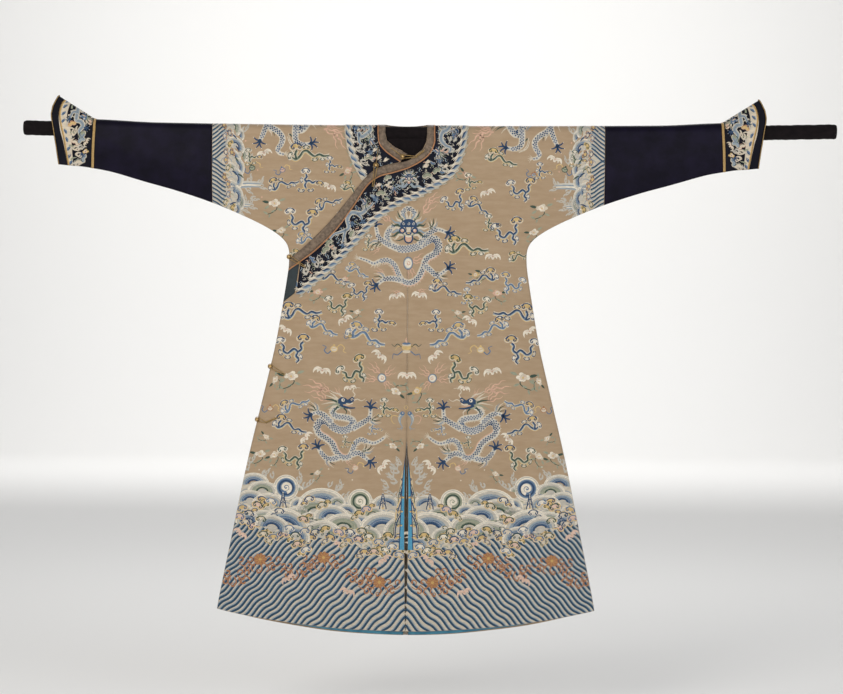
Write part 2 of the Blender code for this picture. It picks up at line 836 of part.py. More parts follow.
def button(name, ball, loop, stem):
    gilt = material("gilt", GILT, 0.3, 0.8)
    gold = material("gold_cord", GILT, 0.5)
    x, z, out = ball
    centre = on_cloth(-1, x, drop_at(x, z), out)
    work = bmesh.new()
    bmesh.ops.create_uvsphere(work, u_segments=12, v_segments=8, radius=BUTTON_RADIUS)
    bmesh.ops.translate(work, verts=work.verts, vec=centre)
    mesh = bpy.data.meshes.new(name)
    work.to_mesh(mesh)
    work.free()
    mesh.shade_smooth()
    keep(f"button_{name}", mesh, gilt)
    level = loop[-1][2]
    route = [np.array(p[:2]) for p in loop]
    towards = np.array((x, z)) - route[-1]
    towards /= np.hypot(*towards)
    square = np.array((-towards[1], towards[0]))
    bight = BUTTON_RADIUS + LOOP_RADIUS + SEAM
    apart = (LOOP_RADIUS + SEAM) * square
    foot = on_cloth(-1, x, drop_at(x, z), level)
    normal = (centre - foot).normalized()
    ahead = Vector((towards[0], 0, towards[1]))
    ahead = (ahead - normal * ahead.dot(normal)).normalized()
    aside = normal.cross(ahead)
    ring = []
    for degrees in LOOP_TURN:
        turn = math.radians(degrees)
        ring.append(foot + bight * (ahead * math.cos(turn) + aside * math.sin(turn)))
    if (ring[0] - foot).x * square[0] + (ring[0] - foot).z * square[1] < 0:
        ring.reverse()
    way_in = [on_cloth(-1, p[0], drop_at(*p), level) for p in (q + apart for q in route)]
    way_out = [on_cloth(-1, p[0], drop_at(*p), level) for p in (q - apart for q in route)]
    cord(f"loop_{name}", [*way_in, *ring, *way_out[::-1]], LOOP_RADIUS, gold)
    if stem:
        start = np.array(stem[:2])
        away = np.array((x, z)) - start
        end = start + away * (1 - (bight + LOOP_RADIUS + 2 * SEAM) / np.hypot(*away))
        points = []
        for k in range(5):
            at = blend(start, end, k / 4)
            points.append(on_cloth(-1, at[0], drop_at(*at), blend(stem[2], level - 0.0005, k / 4)))
        cord(f"stem_{name}", points, LOOP_RADIUS, gold)


def rod():
    black = material("rod_cover", BLACK, 0.9)
    count = 14
    xs = [blend(*ROD_ENDS, k / count) for k in range(count + 1)]
    heights = [rod_axis(x) for x in xs]
    lead = 0.02
    xs[1], xs[-2] = xs[0] + lead, xs[-1] - lead
    heights[0], heights[-1] = rod_axis(xs[1]), rod_axis(xs[-2])
    heights[1], heights[-2] = heights[0], heights[-1]
    cord("rod", [(x, 0.0, z) for x, z in zip(xs, heights)], ROD_RADIUS, black, 6)


def rod_drape():
    """Cloth that hangs from the rod's front inside the neck, in upright folds."""
    across, along = 24, 4
    work = bmesh.new()
    bmesh.ops.create_grid(work, x_segments=across, y_segments=along, size=1)
    whole = [*work.verts, *work.edges, *work.faces]
    raised = bmesh.ops.extrude_face_region(work, geom=whole, use_keep_orig=True)
    front = {item for item in raised["geom"] if isinstance(item, bmesh.types.BMVert)}
    top_y = -math.sqrt((ROD_RADIUS + SEAM) ** 2 - DRAPE_TOP**2)
    for vert in work.verts:
        x = NECK_CENTRE + vert.co.x * DRAPE_WIDTH / 2
        down = (1 - vert.co.y) / 2
        wave = DRAPE_FOLD * math.cos(vert.co.x * math.pi * DRAPE_FOLDS) * smooth(3 * down)
        y = top_y + DRAPE_FOLD * smooth(3 * down) - wave
        vert.co = (
            x,
            y - (BAND_WALL if vert in front else 0),
            blend(DRAPE_TOP, DRAPE_FOOT, down),
        )
    bmesh.ops.recalc_face_normals(work, faces=work.faces)
    mesh = bpy.data.meshes.new("rod_drape")
    work.to_mesh(mesh)
    work.free()
    mesh.shade_smooth()
    keep("rod_drape", mesh, material("rod_cover", BLACK, 0.9))


clear_scene()
rod()
rod_drape()
body()
arms()
borders()
back_border()
side_facing()
linings()
for row in BUTTONS[1:]:
    button(*row)
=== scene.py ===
"""Looks of the dragon robe on its rod. Metres, +Z up, the front faces -Y, +X is the wearer's left.

Cloth is laid on the surface that the solids follow: a point is given by x and drop, the height below the
rod's axis, and from -1 to 0 drop is the wrap over the rod. side is -1 in front and 1 behind. Woven motifs are
drawn in the plane of the front view and laid on the same surface, a little way out.
"""

import math

import bpy
import numpy as np
from mathutils import Matrix, Vector


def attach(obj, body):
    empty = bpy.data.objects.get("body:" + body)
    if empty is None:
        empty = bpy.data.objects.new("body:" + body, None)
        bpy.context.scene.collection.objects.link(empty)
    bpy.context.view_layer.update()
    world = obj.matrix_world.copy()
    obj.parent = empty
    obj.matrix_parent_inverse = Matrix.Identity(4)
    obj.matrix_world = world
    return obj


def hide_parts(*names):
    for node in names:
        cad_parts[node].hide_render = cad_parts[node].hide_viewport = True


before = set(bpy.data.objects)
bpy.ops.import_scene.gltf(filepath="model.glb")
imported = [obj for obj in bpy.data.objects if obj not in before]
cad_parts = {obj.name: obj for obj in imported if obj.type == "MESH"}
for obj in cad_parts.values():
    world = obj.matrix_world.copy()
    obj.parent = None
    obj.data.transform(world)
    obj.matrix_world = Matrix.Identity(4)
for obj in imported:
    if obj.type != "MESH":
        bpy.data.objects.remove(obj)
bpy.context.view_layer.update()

# Sizes shared with the solids
SEAM = 0.0003
LAID_ON = 0.0005
WALL = 0.0016
BAND_WALL = 0.0008
BINDING_WALL = 0.001
ROPE_WALL = 0.0012
LINING_WALL = 0.001
LAYER = WALL + SEAM
ROD_RADIUS = 0.021
ROD_ENDS = (-1.08, 1.20)
ROD_SPAN = 1.10
ROD_BOW = 0.012
SLEEVE_SEAM = 0.55
WRIST_TOP = 0.880
WRIST_FOOT = 0.887
FRONT_HEM = -1.395
BACK_HEM = -1.409
HEM_CORNER_X = 0.529
HEM_CORNER_Z = -1.336
NECK_CENTRE = -0.0065
NECK_HALF_WIDTH = 0.0585
BACK_NECK_ANGLE = math.radians(30)
FRONT_SLIT_TOP = -0.865
BACK_SLIT_TOP = -0.95
WRAP = ROD_RADIUS + 0.0009
HANG = 0.0125
EDGE_ROLL = 0.09
FOLD_DEPTH = 0.0026
FOLD_WIDTHS = (0.27, 0.19)
UNEVEN = 0.0005
UNDERLAP_SINK = 0.002
SLEEVE_RISE = 0.0052
CUFF_RISE = 0.61
FRONT_SLIT_SWELL = 0.0048
FRONT_SLIT_SPREAD = 0.0012
BACK_SLIT_SPREAD = 0.0065
BAND_GAP = 0.0038
LINING_SINK = 0.0009
LINING_HEIGHT = 0.05
LINING_SIDE_GAP = 0.018
SLIT_FACING_WIDTH = 0.03
ROPE_HALF = 0.009
PIPING_RADIUS = 0.0013
CORD_RADIUS = 0.0014
LOOP_RADIUS = 0.0013
BUTTON_RADIUS = 0.005
BACK_BAND_HALF = 0.163
BACK_BAND_DEPTH = 0.099
BACK_BAND_SHOULDER = 0.006

# Lower edge of sleeve and cuff, then the underarm and the side: half width, height
SILHOUETTE = (
    (1.030, -0.085), (0.961, -0.093), (0.920, -0.096), (0.887, -0.101), (0.830, -0.112), (0.740, -0.138),
    (0.650, -0.163), (0.550, -0.196), (0.465, -0.231), (0.417, -0.2535), (0.377, -0.276), (0.349, -0.2985),
    (0.336, -0.321), (0.333, -0.354), (0.339, -0.410), (0.367, -0.578), (0.392, -0.690), (0.445, -0.914),
    (0.491, -1.138), (0.5235, -1.300), (0.533, -1.362), (0.545, -1.430),
)
CUFF_MOUTH = (
    (-0.100, 0.984), (-0.050, 0.989), (-0.010, 0.995), (0.035, 1.003), (0.060, 0.999), (0.095, 0.984),
)
# Rows of a body panel: height reached at the centre and at the side, rows to there
BODY_SECTIONS = (
    (-0.080, -0.085, 16), (-0.165, -0.196, 12), (-0.330, -0.321, 16), (-0.440, -0.380, 9),
    (-0.560, -0.500, 10), (-1.000, -0.950, 32), (FRONT_HEM, HEM_CORNER_Z, 32),
)
OVERLAP_SECTIONS = (
    (-0.440, -0.410, 24), (-0.560, -0.500, 9), (-1.000, -0.950, 32), (FRONT_HEM, HEM_CORNER_Z, 32),
)
# Closing edge, lower edge of the binding, and line of the rope border: x, z pairs
CLOSING = (
    (0.052, 0.000, 0.071, 0.000, 0.156, 0.000),
    (0.050, -0.022, 0.070, -0.028, 0.149, -0.046),
    (0.040, -0.044, 0.052, -0.062, 0.116, -0.116),
    (0.004, -0.074, 0.008, -0.091, 0.025, -0.172),
    (-0.046, -0.087, -0.0395, -0.1075, -0.015, -0.187),
    (-0.092, -0.102, -0.083, -0.120, -0.042, -0.202),
    (-0.131, -0.138, -0.118, -0.1475, -0.058, -0.213),
    (-0.174, -0.193, -0.157, -0.2065, -0.101, -0.247),
    (-0.223, -0.252, -0.203, -0.269, -0.155, -0.309),
    (-0.276, -0.305, -0.258, -0.325, -0.212, -0.369),
    (-0.316, -0.340, -0.300, -0.3575, -0.304, -0.450),
    (-0.3325, -0.353, -0.3325, -0.3805, -0.320, -0.470),
)
INNER_CLOSING = (
    (-0.065, 0.000, -0.084, 0.000, -0.170, 0.000),
    (-0.061, -0.020, -0.079, -0.030, -0.164, -0.034),
    (-0.042, -0.037, -0.057, -0.054, -0.152, -0.074),
    (-0.003, -0.058, -0.022, -0.078, -0.120, -0.132),
)
SIDE_FACING = ((-0.3035, -0.3655, -0.3865), (-0.3090, -0.4050, -0.4200), (-0.3165, -0.4490, -0.4740))
# Creases: from x, z to x, z, half width, depth outwards
CREASES = (
    (-0.862, 0.010, -0.775, -0.075, 0.014, 0.0016),
    (-0.868, -0.060, -0.800, -0.100, 0.010, 0.0013),
    (-0.590, -0.050, -0.690, -0.155, 0.016, 0.0017),
    (-0.640, 0.000, -0.600, -0.120, 0.018, -0.0012),
    (0.660, 0.000, 0.715, -0.130, 0.014, 0.0016),
    (0.590, -0.070, 0.625, -0.165, 0.016, 0.0014),
    (0.845, -0.040, 0.870, -0.100, 0.012, 0.0013),
    (0.760, -0.010, 0.790, -0.090, 0.020, -0.0010),
    (-0.520, -0.080, -0.380, -0.230, 0.022, 0.0012),
    (0.520, -0.080, 0.390, -0.240, 0.022, 0.0012),
    (-0.330, -0.330, -0.230, -0.480, 0.026, 0.0013),
    (0.330, -0.330, 0.240, -0.500, 0.026, 0.0013),
    (0.000, -0.865, -0.010, -0.700, 0.014, 0.0010),
)


def smooth(t):
    t = np.clip(t, 0, 1)
    return t * t * (3 - 2 * t)


def blend(a, b, t):
    return a + (b - a) * t


def spline(points, steps):
    """Points on a smooth curve through the given ones, steps to each stretch."""
    points = np.array(points, float)
    ends = np.vstack([2 * points[0] - points[1], points, 2 * points[-1] - points[-2]])
    before, a, b, after = ends[:-3, None], ends[1:-2, None], ends[2:-1, None], ends[3:, None]
    t = (np.arange(steps) / steps)[None, :, None]
    curve = 2 * a + (b - before) * t + (2 * before - 5 * a + 4 * b - after) * t**2
    curve = 0.5 * (curve + (3 * a - before - 3 * b + after) * t**3)
    return np.vstack([curve.reshape(-1, points.shape[1]), points[-1:]])


def unit(vectors):
    return vectors / np.maximum(1e-9, np.linalg.norm(vectors, axis=-1, keepdims=True))


def run_along(line):
    """Length run at each point of a line."""
    return np.concatenate([[0], np.cumsum(np.linalg.norm(np.diff(line, axis=0), axis=1))])


def drawn_out(values, count):
    """Values spread evenly over a number of points."""
    return np.interp(np.linspace(0, 1, count), np.linspace(0, 1, len(values)), values)


def circle(count):
    """Angles once round."""
    return np.arange(count) / count * 2 * math.pi


def polar(angle):
    turn = math.radians(angle)
    return math.cos(turn), math.sin(turn)


def across_line(line, half=1.0):
    """Vectors square to a line of two columns, of the length half."""
    along = unit(np.gradient(line, axis=0))
    return np.stack([-along[:, 1], along[:, 0]], axis=1) * half


OUTLINE = spline(SILHOUETTE, 5)
STEP = 0.004
MAP_X = np.arange(0, 1.06, STEP)
MAP_Z = np.arange(-1.48, 0.16, STEP)


def edge_x(z):
    return np.interp(-np.asarray(z, float), -OUTLINE[:, 1], OUTLINE[:, 0])


def arm_z(x):
    return np.interp(-np.abs(x), -OUTLINE[:, 0], OUTLINE[:, 1])


def inside_map():
    """Distance inwards from the lower edge and the sides, on a grid."""
    x, z = np.meshgrid(MAP_X, MAP_Z, indexing="ij")
    best = np.full(x.shape, 9.0)
    sign = np.ones(x.shape)
    for (ax, az), (bx, bz) in zip(OUTLINE[:-1], OUTLINE[1:]):
        dx, dz = bx - ax, bz - az
        share = np.clip(((x - ax) * dx + (z - az) * dz) / (dx * dx + dz * dz), 0, 1)
        px, pz = x - ax - share * dx, z - az - share * dz
        away = np.hypot(px, pz)
        nearer = away < best - 1e-9
        best = np.where(nearer, away, best)
        sign = np.where(nearer, np.sign(dz * px - dx * pz), sign)
    return best * sign


INSIDE = inside_map()


def inside_edge(x, z):
    u = np.clip(np.abs(x) / STEP, 0, len(MAP_X) - 1.001)
    v = np.clip((z - MAP_Z[0]) / STEP, 0, len(MAP_Z) - 1.001)
    i, j = u.astype(int), v.astype(int)
    u, v = u - i, v - j
    low = INSIDE[i, j] * (1 - v) + INSIDE[i, j + 1] * v
    high = INSIDE[i + 1, j] * (1 - v) + INSIDE[i + 1, j + 1] * v
    return low * (1 - u) + high * u


def rod_axis(x):
    return ROD_BOW * (np.asarray(x, float) / ROD_SPAN) ** 2


def cap_height(x):
    x = np.abs(x)
    return WRAP + SLEEVE_RISE * smooth((x - 0.70) / 0.18) + np.maximum(0.0, x - WRIST_TOP) * CUFF_RISE


def relief(side, x, drop):
    """Creases, and the slight unevenness of hanging cloth."""
    z = rod_axis(x) - drop
    depth = np.zeros(len(x))
    for ax, az, bx, bz, half, rise in CREASES:
        dx, dz = bx - ax, bz - az
        share = ((x - ax) * dx + (z - az) * dz) / (dx * dx + dz * dz)
        near = np.clip(share, 0, 1)
        away = np.hypot(x - ax - near * dx, z - az - near * dz)
        depth += rise * np.exp(-((away / half) ** 2))
    grown = smooth((drop - 0.05) / 0.3)
    depth += grown * UNEVEN * np.sin(23 * x + 9 * z + side) * np.sin(17 * z - 6 * x)
    return depth * smooth((drop - 0.005) / 0.03) * smooth(inside_edge(x, z) / 0.02)


def inner_face(side, x, drop):
    over = drop < 0
    angle = (1 + np.minimum(drop, 0)) * math.pi / 2
    axis = rod_axis(x)
    z = axis - drop
    roll = np.sin(np.clip(inside_edge(x, z) / EDGE_ROLL, 0, 1) * math.pi / 2)
    grown = smooth((drop - 0.45) / 0.85)
    shift = 0.6 if side < 0 else 2.9
    wave = np.sin(2 * math.pi * x / FOLD_WIDTHS[0] + shift)
    wave += 0.5 * np.sin(2 * math.pi * x / FOLD_WIDTHS[1] + 2 * shift)
    hang = blend(WRAP, HANG, smooth((drop - 0.02) / 0.42)) + FOLD_DEPTH * grown * wave
    depth = np.where(over, WRAP * np.sin(angle), roll * hang + relief(side, x, np.maximum(drop, 0)))
    height = np.where(over, axis + cap_height(x) * np.cos(angle), z)
    return np.stack([x, side * (SEAM / 2 + depth), height], axis=1)


def on_cloth(side, x, drop, out):
    """Points at a distance out from the inner face."""
    x, drop = np.asarray(x, float), np.asarray(drop, float)
    step = 0.002
    along = inner_face(side, x + step, drop) - inner_face(side, x - step, drop)
    down = inner_face(side, x, drop + step) - inner_face(side, x, drop - step)
    normal = side * unit(np.cross(along, down))
    return inner_face(side, x, drop) + normal * np.asarray(out)[..., None]


def drop_at(x, z):
    above = np.asarray(z, float) - rod_axis(x)
    wrap = np.arccos(np.clip(above / cap_height(x), -1, 1)) / (math.pi / 2) - 1
    return np.where(above <= 0, -above, wrap)


def closing_edge():
    edge = spline(np.array(CLOSING)[2:, :2], 6)
    return np.vstack([(-SEAM / 2, -0.077), edge[edge[:, 0] < -0.004]])


CLOSING_EDGE = closing_edge()


def closing_z(x):
    return np.interp(-np.asarray(x, float), -CLOSING_EDGE[:, 0], CLOSING_EDGE[:, 1])


def outer_layer(x, drop):
    return LAYER * smooth(drop / 0.05) * (1 - smooth((x - 0.03) / 0.12))


def under_layer(x, drop):
    z = rod_axis(x) - drop
    covered = smooth((closing_z(x) - z) / 0.06)
    return -UNDERLAP_SINK * covered * smooth(inside_edge(x, z) / 0.03) * (drop >= 0)


def one_layer(x, drop):
    return np.zeros(len(x))


def hem_height(x, middle):
    return middle + (HEM_CORNER_Z - middle) * (np.asarray(x, float) / HEM_CORNER_X) ** 2


def front_hem(x):
    return hem_height(x, FRONT_HEM)


def back_hem(x):
    return hem_height(x, BACK_HEM)


def front_slit(z):
    down = np.clip((FRONT_SLIT_TOP - z) / (FRONT_SLIT_TOP - FRONT_HEM), 0, 1.05)
    swell = FRONT_SLIT_SWELL * np.sin(math.pi * np.minimum(1, down) ** 0.6)
    return SEAM / 2 + swell + FRONT_SLIT_SPREAD * down


def back_slit(z):
    down = np.clip((BACK_SLIT_TOP - z) / (BACK_SLIT_TOP - BACK_HEM), 0, 1.05)
    return SEAM / 2 + BACK_SLIT_SPREAD * down**2


def table_x(table, z):
    table = np.array(table)
    return np.interp(-np.asarray(z, float), -table[:, 1], table[:, 0])


def front_left_x(z):
    edge = [row[:2] for row in CLOSING[:4]] + [(SEAM / 2, -0.077)]
    return np.maximum(table_x(edge, z), front_slit(z))


def underlap_x(z):
    edge = [row[:2] for row in INNER_CLOSING[:3]]
    return table_x([*edge, (-0.014, -0.051), (-0.022, -0.080), (-0.035, -0.110)], z)


def underlap_hem(x):
    return front_hem(x) + 0.06


def back_neck_angle(x):
    return BACK_NECK_ANGLE * np.sqrt(np.maximum(0, 1 - ((x - NECK_CENTRE) / NECK_HALF_WIDTH) ** 2))


# Colours of the woven silk
COLOURS = {
    "cream": (0.58, 0.50, 0.38),
    "white": (0.70, 0.63, 0.51),
    "foam": (0.455, 0.42, 0.355),
    "pale_blue": (0.25, 0.30, 0.33),
    "scale_pale": (0.54, 0.51, 0.44),
    "slate": (0.10, 0.135, 0.20),
    "mid_blue": (0.085, 0.145, 0.235),
    "dark_blue": (0.012, 0.043, 0.105),
    "pale_green": (0.27, 0.285, 0.20),
    "dark_green": (0.034, 0.062, 0.042),
    "gold": (0.50, 0.31, 0.10),
    "yellow": (0.56, 0.39, 0.16),
    "peach": (0.57, 0.355, 0.25),
    "rust": (0.34, 0.148, 0.060),
    "night": (0.008, 0.009, 0.018),
    "turquoise": (0.061, 0.27, 0.42),
    "blush": (0.62, 0.44, 0.34),
    "stripe_blue": (0.0088, 0.046, 0.092),
    "stripe_cream": (0.51, 0.45, 0.355),
}


def plain(name, colour, roughness=0.7, metallic=0.0, sheen=0.0):
    """Material with a colour, its node tree and its shader."""
    made = bpy.data.materials.new(name)
    made.use_nodes = True
    tree = made.node_tree
    shader = tree.nodes["Principled BSDF"]
    shader.inputs["Base Color"].default_value = (*colour, 1)
    shader.inputs["Roughness"].default_value = roughness
    shader.inputs["Metallic"].default_value = metallic
    shader.inputs["Sheen Weight"].default_value = sheen
    shader.inputs["Specular IOR Level"].default_value = 0.35
    return made, tree, shader


def node(tree, kind, **values):
    made = tree.nodes.new(kind)
    for key, value in values.items():
        if hasattr(made, key):
            setattr(made, key, value)
        else:
            made.inputs[key.replace("_", " ")].default_value = value
    return made


# Length of one band of a wave texture at scale 1
BAND_LENGTH = 0.314
WEAVE_DEPTH = 0.0003


def weave(tree, shader, thread, strength, across=1.0):
    """Ribs of weft and warp as bump, with a little unevenness."""
    place = node(tree, "ShaderNodeTexCoord")
    scale = BAND_LENGTH / thread
    ribs = node(tree, "ShaderNodeTexWave", wave_type="BANDS", bands_direction="X", Scale=scale)
    rows = node(tree, "ShaderNodeTexWave", wave_type="BANDS", bands_direction="Z", Scale=scale * across)
    slub = node(tree, "ShaderNodeTexNoise", Scale=900.0, Detail=3.0)
    both = node(tree, "ShaderNodeMath", operation="ADD")
    more = node(tree, "ShaderNodeMath", operation="ADD")
    bump = node(tree, "ShaderNodeBump", Strength=strength, Distance=WEAVE_DEPTH)
    for texture in (ribs, rows, slub):
        tree.links.new(place.outputs["Object"], texture.inputs["Vector"])
    for made, socket in ((ribs, both.inputs[0]), (rows, both.inputs[1])):
        tree.links.new(made.outputs["Fac"], socket)
    tree.links.new(both.outputs[0], more.inputs[0])
    tree.links.new(slub.outputs["Fac"], more.inputs[1])
    tree.links.new(more.outputs[0], bump.inputs["Height"])
    tree.links.new(bump.outputs["Normal"], shader.inputs["Normal"])
    return place


def mottle(tree, place, shader, scale, dark, light, stretch=(1, 1, 1)):
    """Colour that wanders between two tones."""
    move = node(tree, "ShaderNodeMapping")
    move.inputs["Scale"].default_value = stretch
    noise = node(tree, "ShaderNodeTexNoise", Scale=scale, Detail=5.0, Roughness=0.6)
    ramp = node(tree, "ShaderNodeValToRGB")
    for stop, position, colour in zip(ramp.color_ramp.elements, (0.35, 0.65), (dark, light)):
        stop.position = position
        stop.color = (*colour, 1)
    tree.links.new(place.outputs["Object"], move.inputs["Vector"])
    tree.links.new(move.outputs["Vector"], noise.inputs["Vector"])
    tree.links.new(noise.outputs["Fac"], ramp.inputs["Fac"])
    tree.links.new(ramp.outputs["Color"], shader.inputs["Base Color"])
    return noise


def cloth_material(
    name, dark, light, roughness, sheen, thread, strength, scale=14.0, stretch=(1, 1, 1), across=1.0,
    gloss=0.35,
):
    """Woven cloth that wanders between two tones."""
    made, tree, shader = plain(name, light, roughness, 0.0, sheen)
    shader.inputs["Specular IOR Level"].default_value = gloss
    place = weave(tree, shader, thread, strength, across)
    mottle(tree, place, shader, scale, dark, light, stretch)
    return made


def silk(name):
    made, tree, shader = plain("silk_" + name, COLOURS[name], 0.62, 0.0, 0.15)
    place = weave(tree, shader, 0.0007, 0.35, 0.6)
    dark, light = ([share * value for value in COLOURS[name]] for share in (0.85, 1.12))
    mottle(tree, place, shader, 110.0, dark, light, (1, 1, 3))
    return made


MATERIALS = {
    "kesi": cloth_material("kesi_ground", (0.345, 0.240, 0.142), (0.385, 0.276, 0.172), 0.72, 0.2, 0.0007,
                           0.35, 26.0, (1, 1, 4.0), 0.6),
    # The navy satin's colour wanders between its two tones partly at random and partly as painted sheen and
    # shade of soft folds on the sleeves
    "navy_satin": cloth_material("navy_satin", (0.0036, 0.0027, 0.0080), (0.0070, 0.0051, 0.0160), 0.5, 0.0,
                                 0.0005, 0.15, 25.0, gloss=0.1),
    "cuff_silk": cloth_material("cuff_silk", (0.005, 0.005, 0.009), (0.008, 0.008, 0.014), 0.7, 0.0, 0.0007,
                                0.3, gloss=0.1),
    "gold_braid": cloth_material("gold_braid", (0.30, 0.17, 0.05), (0.62, 0.42, 0.17), 0.42, 0.0, 0.0012, 0.9,
                                 700.0),
    "band_silk": cloth_material("band_silk", (0.006, 0.007, 0.013), (0.011, 0.012, 0.021), 0.7, 0.0, 0.0007,
                                0.3, gloss=0.1),
    "rope_border": cloth_material("rope_border_silk", (0.46, 0.40, 0.31), (0.60, 0.53, 0.42), 0.65, 0.15,
                                  0.0007, 0.4, 60.0),
    "binding_silk": cloth_material("binding_brocade", (0.085, 0.058, 0.038), (0.215, 0.152, 0.100), 0.55, 0.2,
                                   0.0006, 0.4, 130.0, (1, 1, 1)),
    "piping": cloth_material("piping_silk", (0.42, 0.17, 0.07), (0.60, 0.28, 0.12), 0.55, 0.1, 0.0005, 0.4,
                             200.0),
    "facing": cloth_material("facing_silk", (0.0075, 0.0150, 0.0185), (0.0150, 0.0260, 0.0310), 0.55, 0.2,
                             0.0006, 0.25, 30.0),
    "lining": cloth_material("lining_silk", (0.035, 0.19, 0.30), (0.075, 0.31, 0.44), 0.42, 0.25, 0.0005, 0.2,
                             40.0),
    "rod_cover": cloth_material("rod_cloth", (0.0045, 0.003, 0.0034), (0.009, 0.006, 0.0065), 0.9, 0.0,
                                0.0012, 0.5, 60.0, gloss=0.15),
    "gold_cord": cloth_material("gold_cord", (0.29, 0.175, 0.055), (0.70, 0.47, 0.18), 0.5, 0.0, 0.0009, 0.9,
                                600.0),
}
SILKS = {name: silk(name) for name in COLOURS}


def gilt_material():
    made, tree, shader = plain("gilt_metal", (0.62, 0.42, 0.17), 0.34, 0.9)
    place = node(tree, "ShaderNodeTexCoord")
    noise = mottle(tree, place, shader, 260.0, (0.30, 0.17, 0.06), (0.74, 0.52, 0.23))
    bump = node(tree, "ShaderNodeBump", Strength=0.6, Distance=0.0004)
    tree.links.new(noise.outputs["Fac"], bump.inputs["Height"])
    tree.links.new(bump.outputs["Normal"], shader.inputs["Normal"])
    return made


MATERIALS["gilt"] = gilt_material()


def keep(name, points, faces, slot, colours=None):
    """Makes a smooth piece and rides it on the body; colours are the silks of a motif's faces."""
    mesh = bpy.data.meshes.new(name)
    mesh.from_pydata(np.asarray(points).tolist(), [], faces if isinstance(faces, list) else faces.tolist())
    for material in [MATERIALS[slot]] if colours is None else SILKS.values():
        mesh.materials.append(material)
    if colours is not None:
        mesh.polygons.foreach_set("material_index", colours)
    mesh.shade_smooth()
    mesh.update()
    piece = bpy.data.objects.new(name, mesh)
    bpy.context.scene.collection.objects.link(piece)
    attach(piece, "root")
    replaced = [name.removeprefix("soft_")] if name.startswith("soft_") else []
    if replaced:
        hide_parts(*replaced)


def grid_faces(rows, columns, start=0):
    """Quads of a grid of points stored row by row."""
    i = np.arange(rows - 1)[:, None] * columns + np.arange(columns - 1)[None, :] + start
    return np.stack([i, i + 1, i + columns + 1, i + columns], axis=-1).reshape(-1, 4)


def slab_faces(rows, columns):
    """Faces of a wall between two grids of points, the outer one first, with its rim."""
    count = rows * columns
    rim = [*range(columns)]
    rim += [k * columns + columns - 1 for k in range(1, rows)]
    rim += [count - 1 - k for k in range(1, columns)]
    rim += [k * columns for k in range(rows - 2, 0, -1)]
    rim = np.array(rim)
    after = np.roll(rim, -1)
    sides = np.stack([after, rim, rim + count, after + count], axis=1)
    return np.vstack([grid_faces(rows, columns), grid_faces(rows, columns, count)[:, ::-1], sides])


def ring_faces(rows, around):
    """Quads between rings of points, and a face over each end."""
    faces = []
    for k in range(rows - 1):
        for j in range(around):
            a, b = k * around + j, k * around + (j + 1) % around
            faces.append([a, b, b + around, a + around])
    return [*faces, [*range(around)][::-1], [(rows - 1) * around + j for j in range(around)]]


def shell(name, side, x, drop, wall, slot, base=0.0, layer=one_layer):
    """A wall over a grid of x and drop, closed at its rim."""
    at_x, at_drop = x.ravel(), drop.ravel()
    out = base + layer(at_x, at_drop)
    points = [on_cloth(side, at_x, at_drop, level) for level in (out + wall, out)]
    faces = slab_faces(*x.shape)
    flips = (x[0, -1] > x[0, 0]) == (side < 0)
    keep(name, np.vstack(points), faces[:, ::-1] if flips else faces, slot)


def patch(left, right, top, bottom, across):
    """Grid of x and drop between two edges, with top and bottom as functions of x."""
    left, right = np.array(left), np.array(right)
    u = np.linspace(0, 1, across + 1)[None, :]
    v = np.linspace(0, 1, len(left))[:, None]
    x = blend(left[:, :1], right[:, :1], u)
    z = blend(left[:, 1:], right[:, 1:], u)
    for a, b, edge, weight in ((left[0], right[0], top, 1 - v), (left[-1], right[-1], bottom, v)):
        at = blend(a[0], b[0], u)
        z = z + weight * (edge(at) - blend(edge(a[0]), edge(b[0]), u))
    return x, rod_axis(x) - z


CAP_ROWS = 12


def with_cap(x, drop, start=None):
    """Adds the rows over the rod above the first row."""
    first = np.zeros(x.shape[1]) if start is None else start(x[0]) / (math.pi / 2)
    share = (np.arange(CAP_ROWS) / CAP_ROWS)[:, None]
    drop = np.vstack([blend(first[None], 1, share) - 1, drop])
    return np.vstack([np.repeat(x[:1], CAP_ROWS, 0), x]), drop


def section_heights(top, sections):
    rows = [top]
    for centre, side, steps in sections:
        start = rows[-1]
        for k in range(1, steps + 1):
            rows.append((blend(start[0], centre, k / steps), blend(start[1], side, k / steps)))
    return np.array(rows)


BODY_COLUMNS = 56


def side_x(z):
    return np.where(z >= SILHOUETTE[7][1], SLEEVE_SEAM - SEAM / 2, edge_x(z))


def body_panel(name, side, hand, centre_x, hem, layer=one_layer, start=None):
    sections = [*BODY_SECTIONS[:-1], (hem(0), hem(HEM_CORNER_X), BODY_SECTIONS[-1][2])]
    heights = section_heights((0.0, rod_axis(SLEEVE_SEAM)), sections)
    centre = np.stack([centre_x(heights[:, 0]), heights[:, 0]], axis=1)
    outer = np.stack([hand * side_x(heights[:, 1]), heights[:, 1]], axis=1)
    x, drop = with_cap(*patch(centre, outer, rod_axis, hem, BODY_COLUMNS), start)
    shell("soft_" + name, side, x, drop, WALL, "kesi", layer=layer)


def body():
    body_panel("front_left", -1, 1, front_left_x, front_hem, outer_layer)
    body_panel("front_inner", -1, -1, underlap_x, underlap_hem, under_layer)
    body_panel("back_left", 1, 1, back_slit, back_hem, start=back_neck_angle)
    body_panel("back_right", 1, -1, lambda z: -back_slit(z), back_hem, start=back_neck_angle)
    heights = section_heights((CLOSING_EDGE[0][1], CLOSING_EDGE[-1][1]), OVERLAP_SECTIONS)
    centre = np.stack([-front_slit(heights[:, 0]), heights[:, 0]], axis=1)
    outer = np.stack([-edge_x(heights[:, 1]), heights[:, 1]], axis=1)
    outer[0] = CLOSING_EDGE[-1]
    x, drop = patch(centre, outer, closing_z, front_hem, BODY_COLUMNS)
    shell("soft_front_overlap", -1, x, drop, WALL, "kesi", layer=outer_layer)


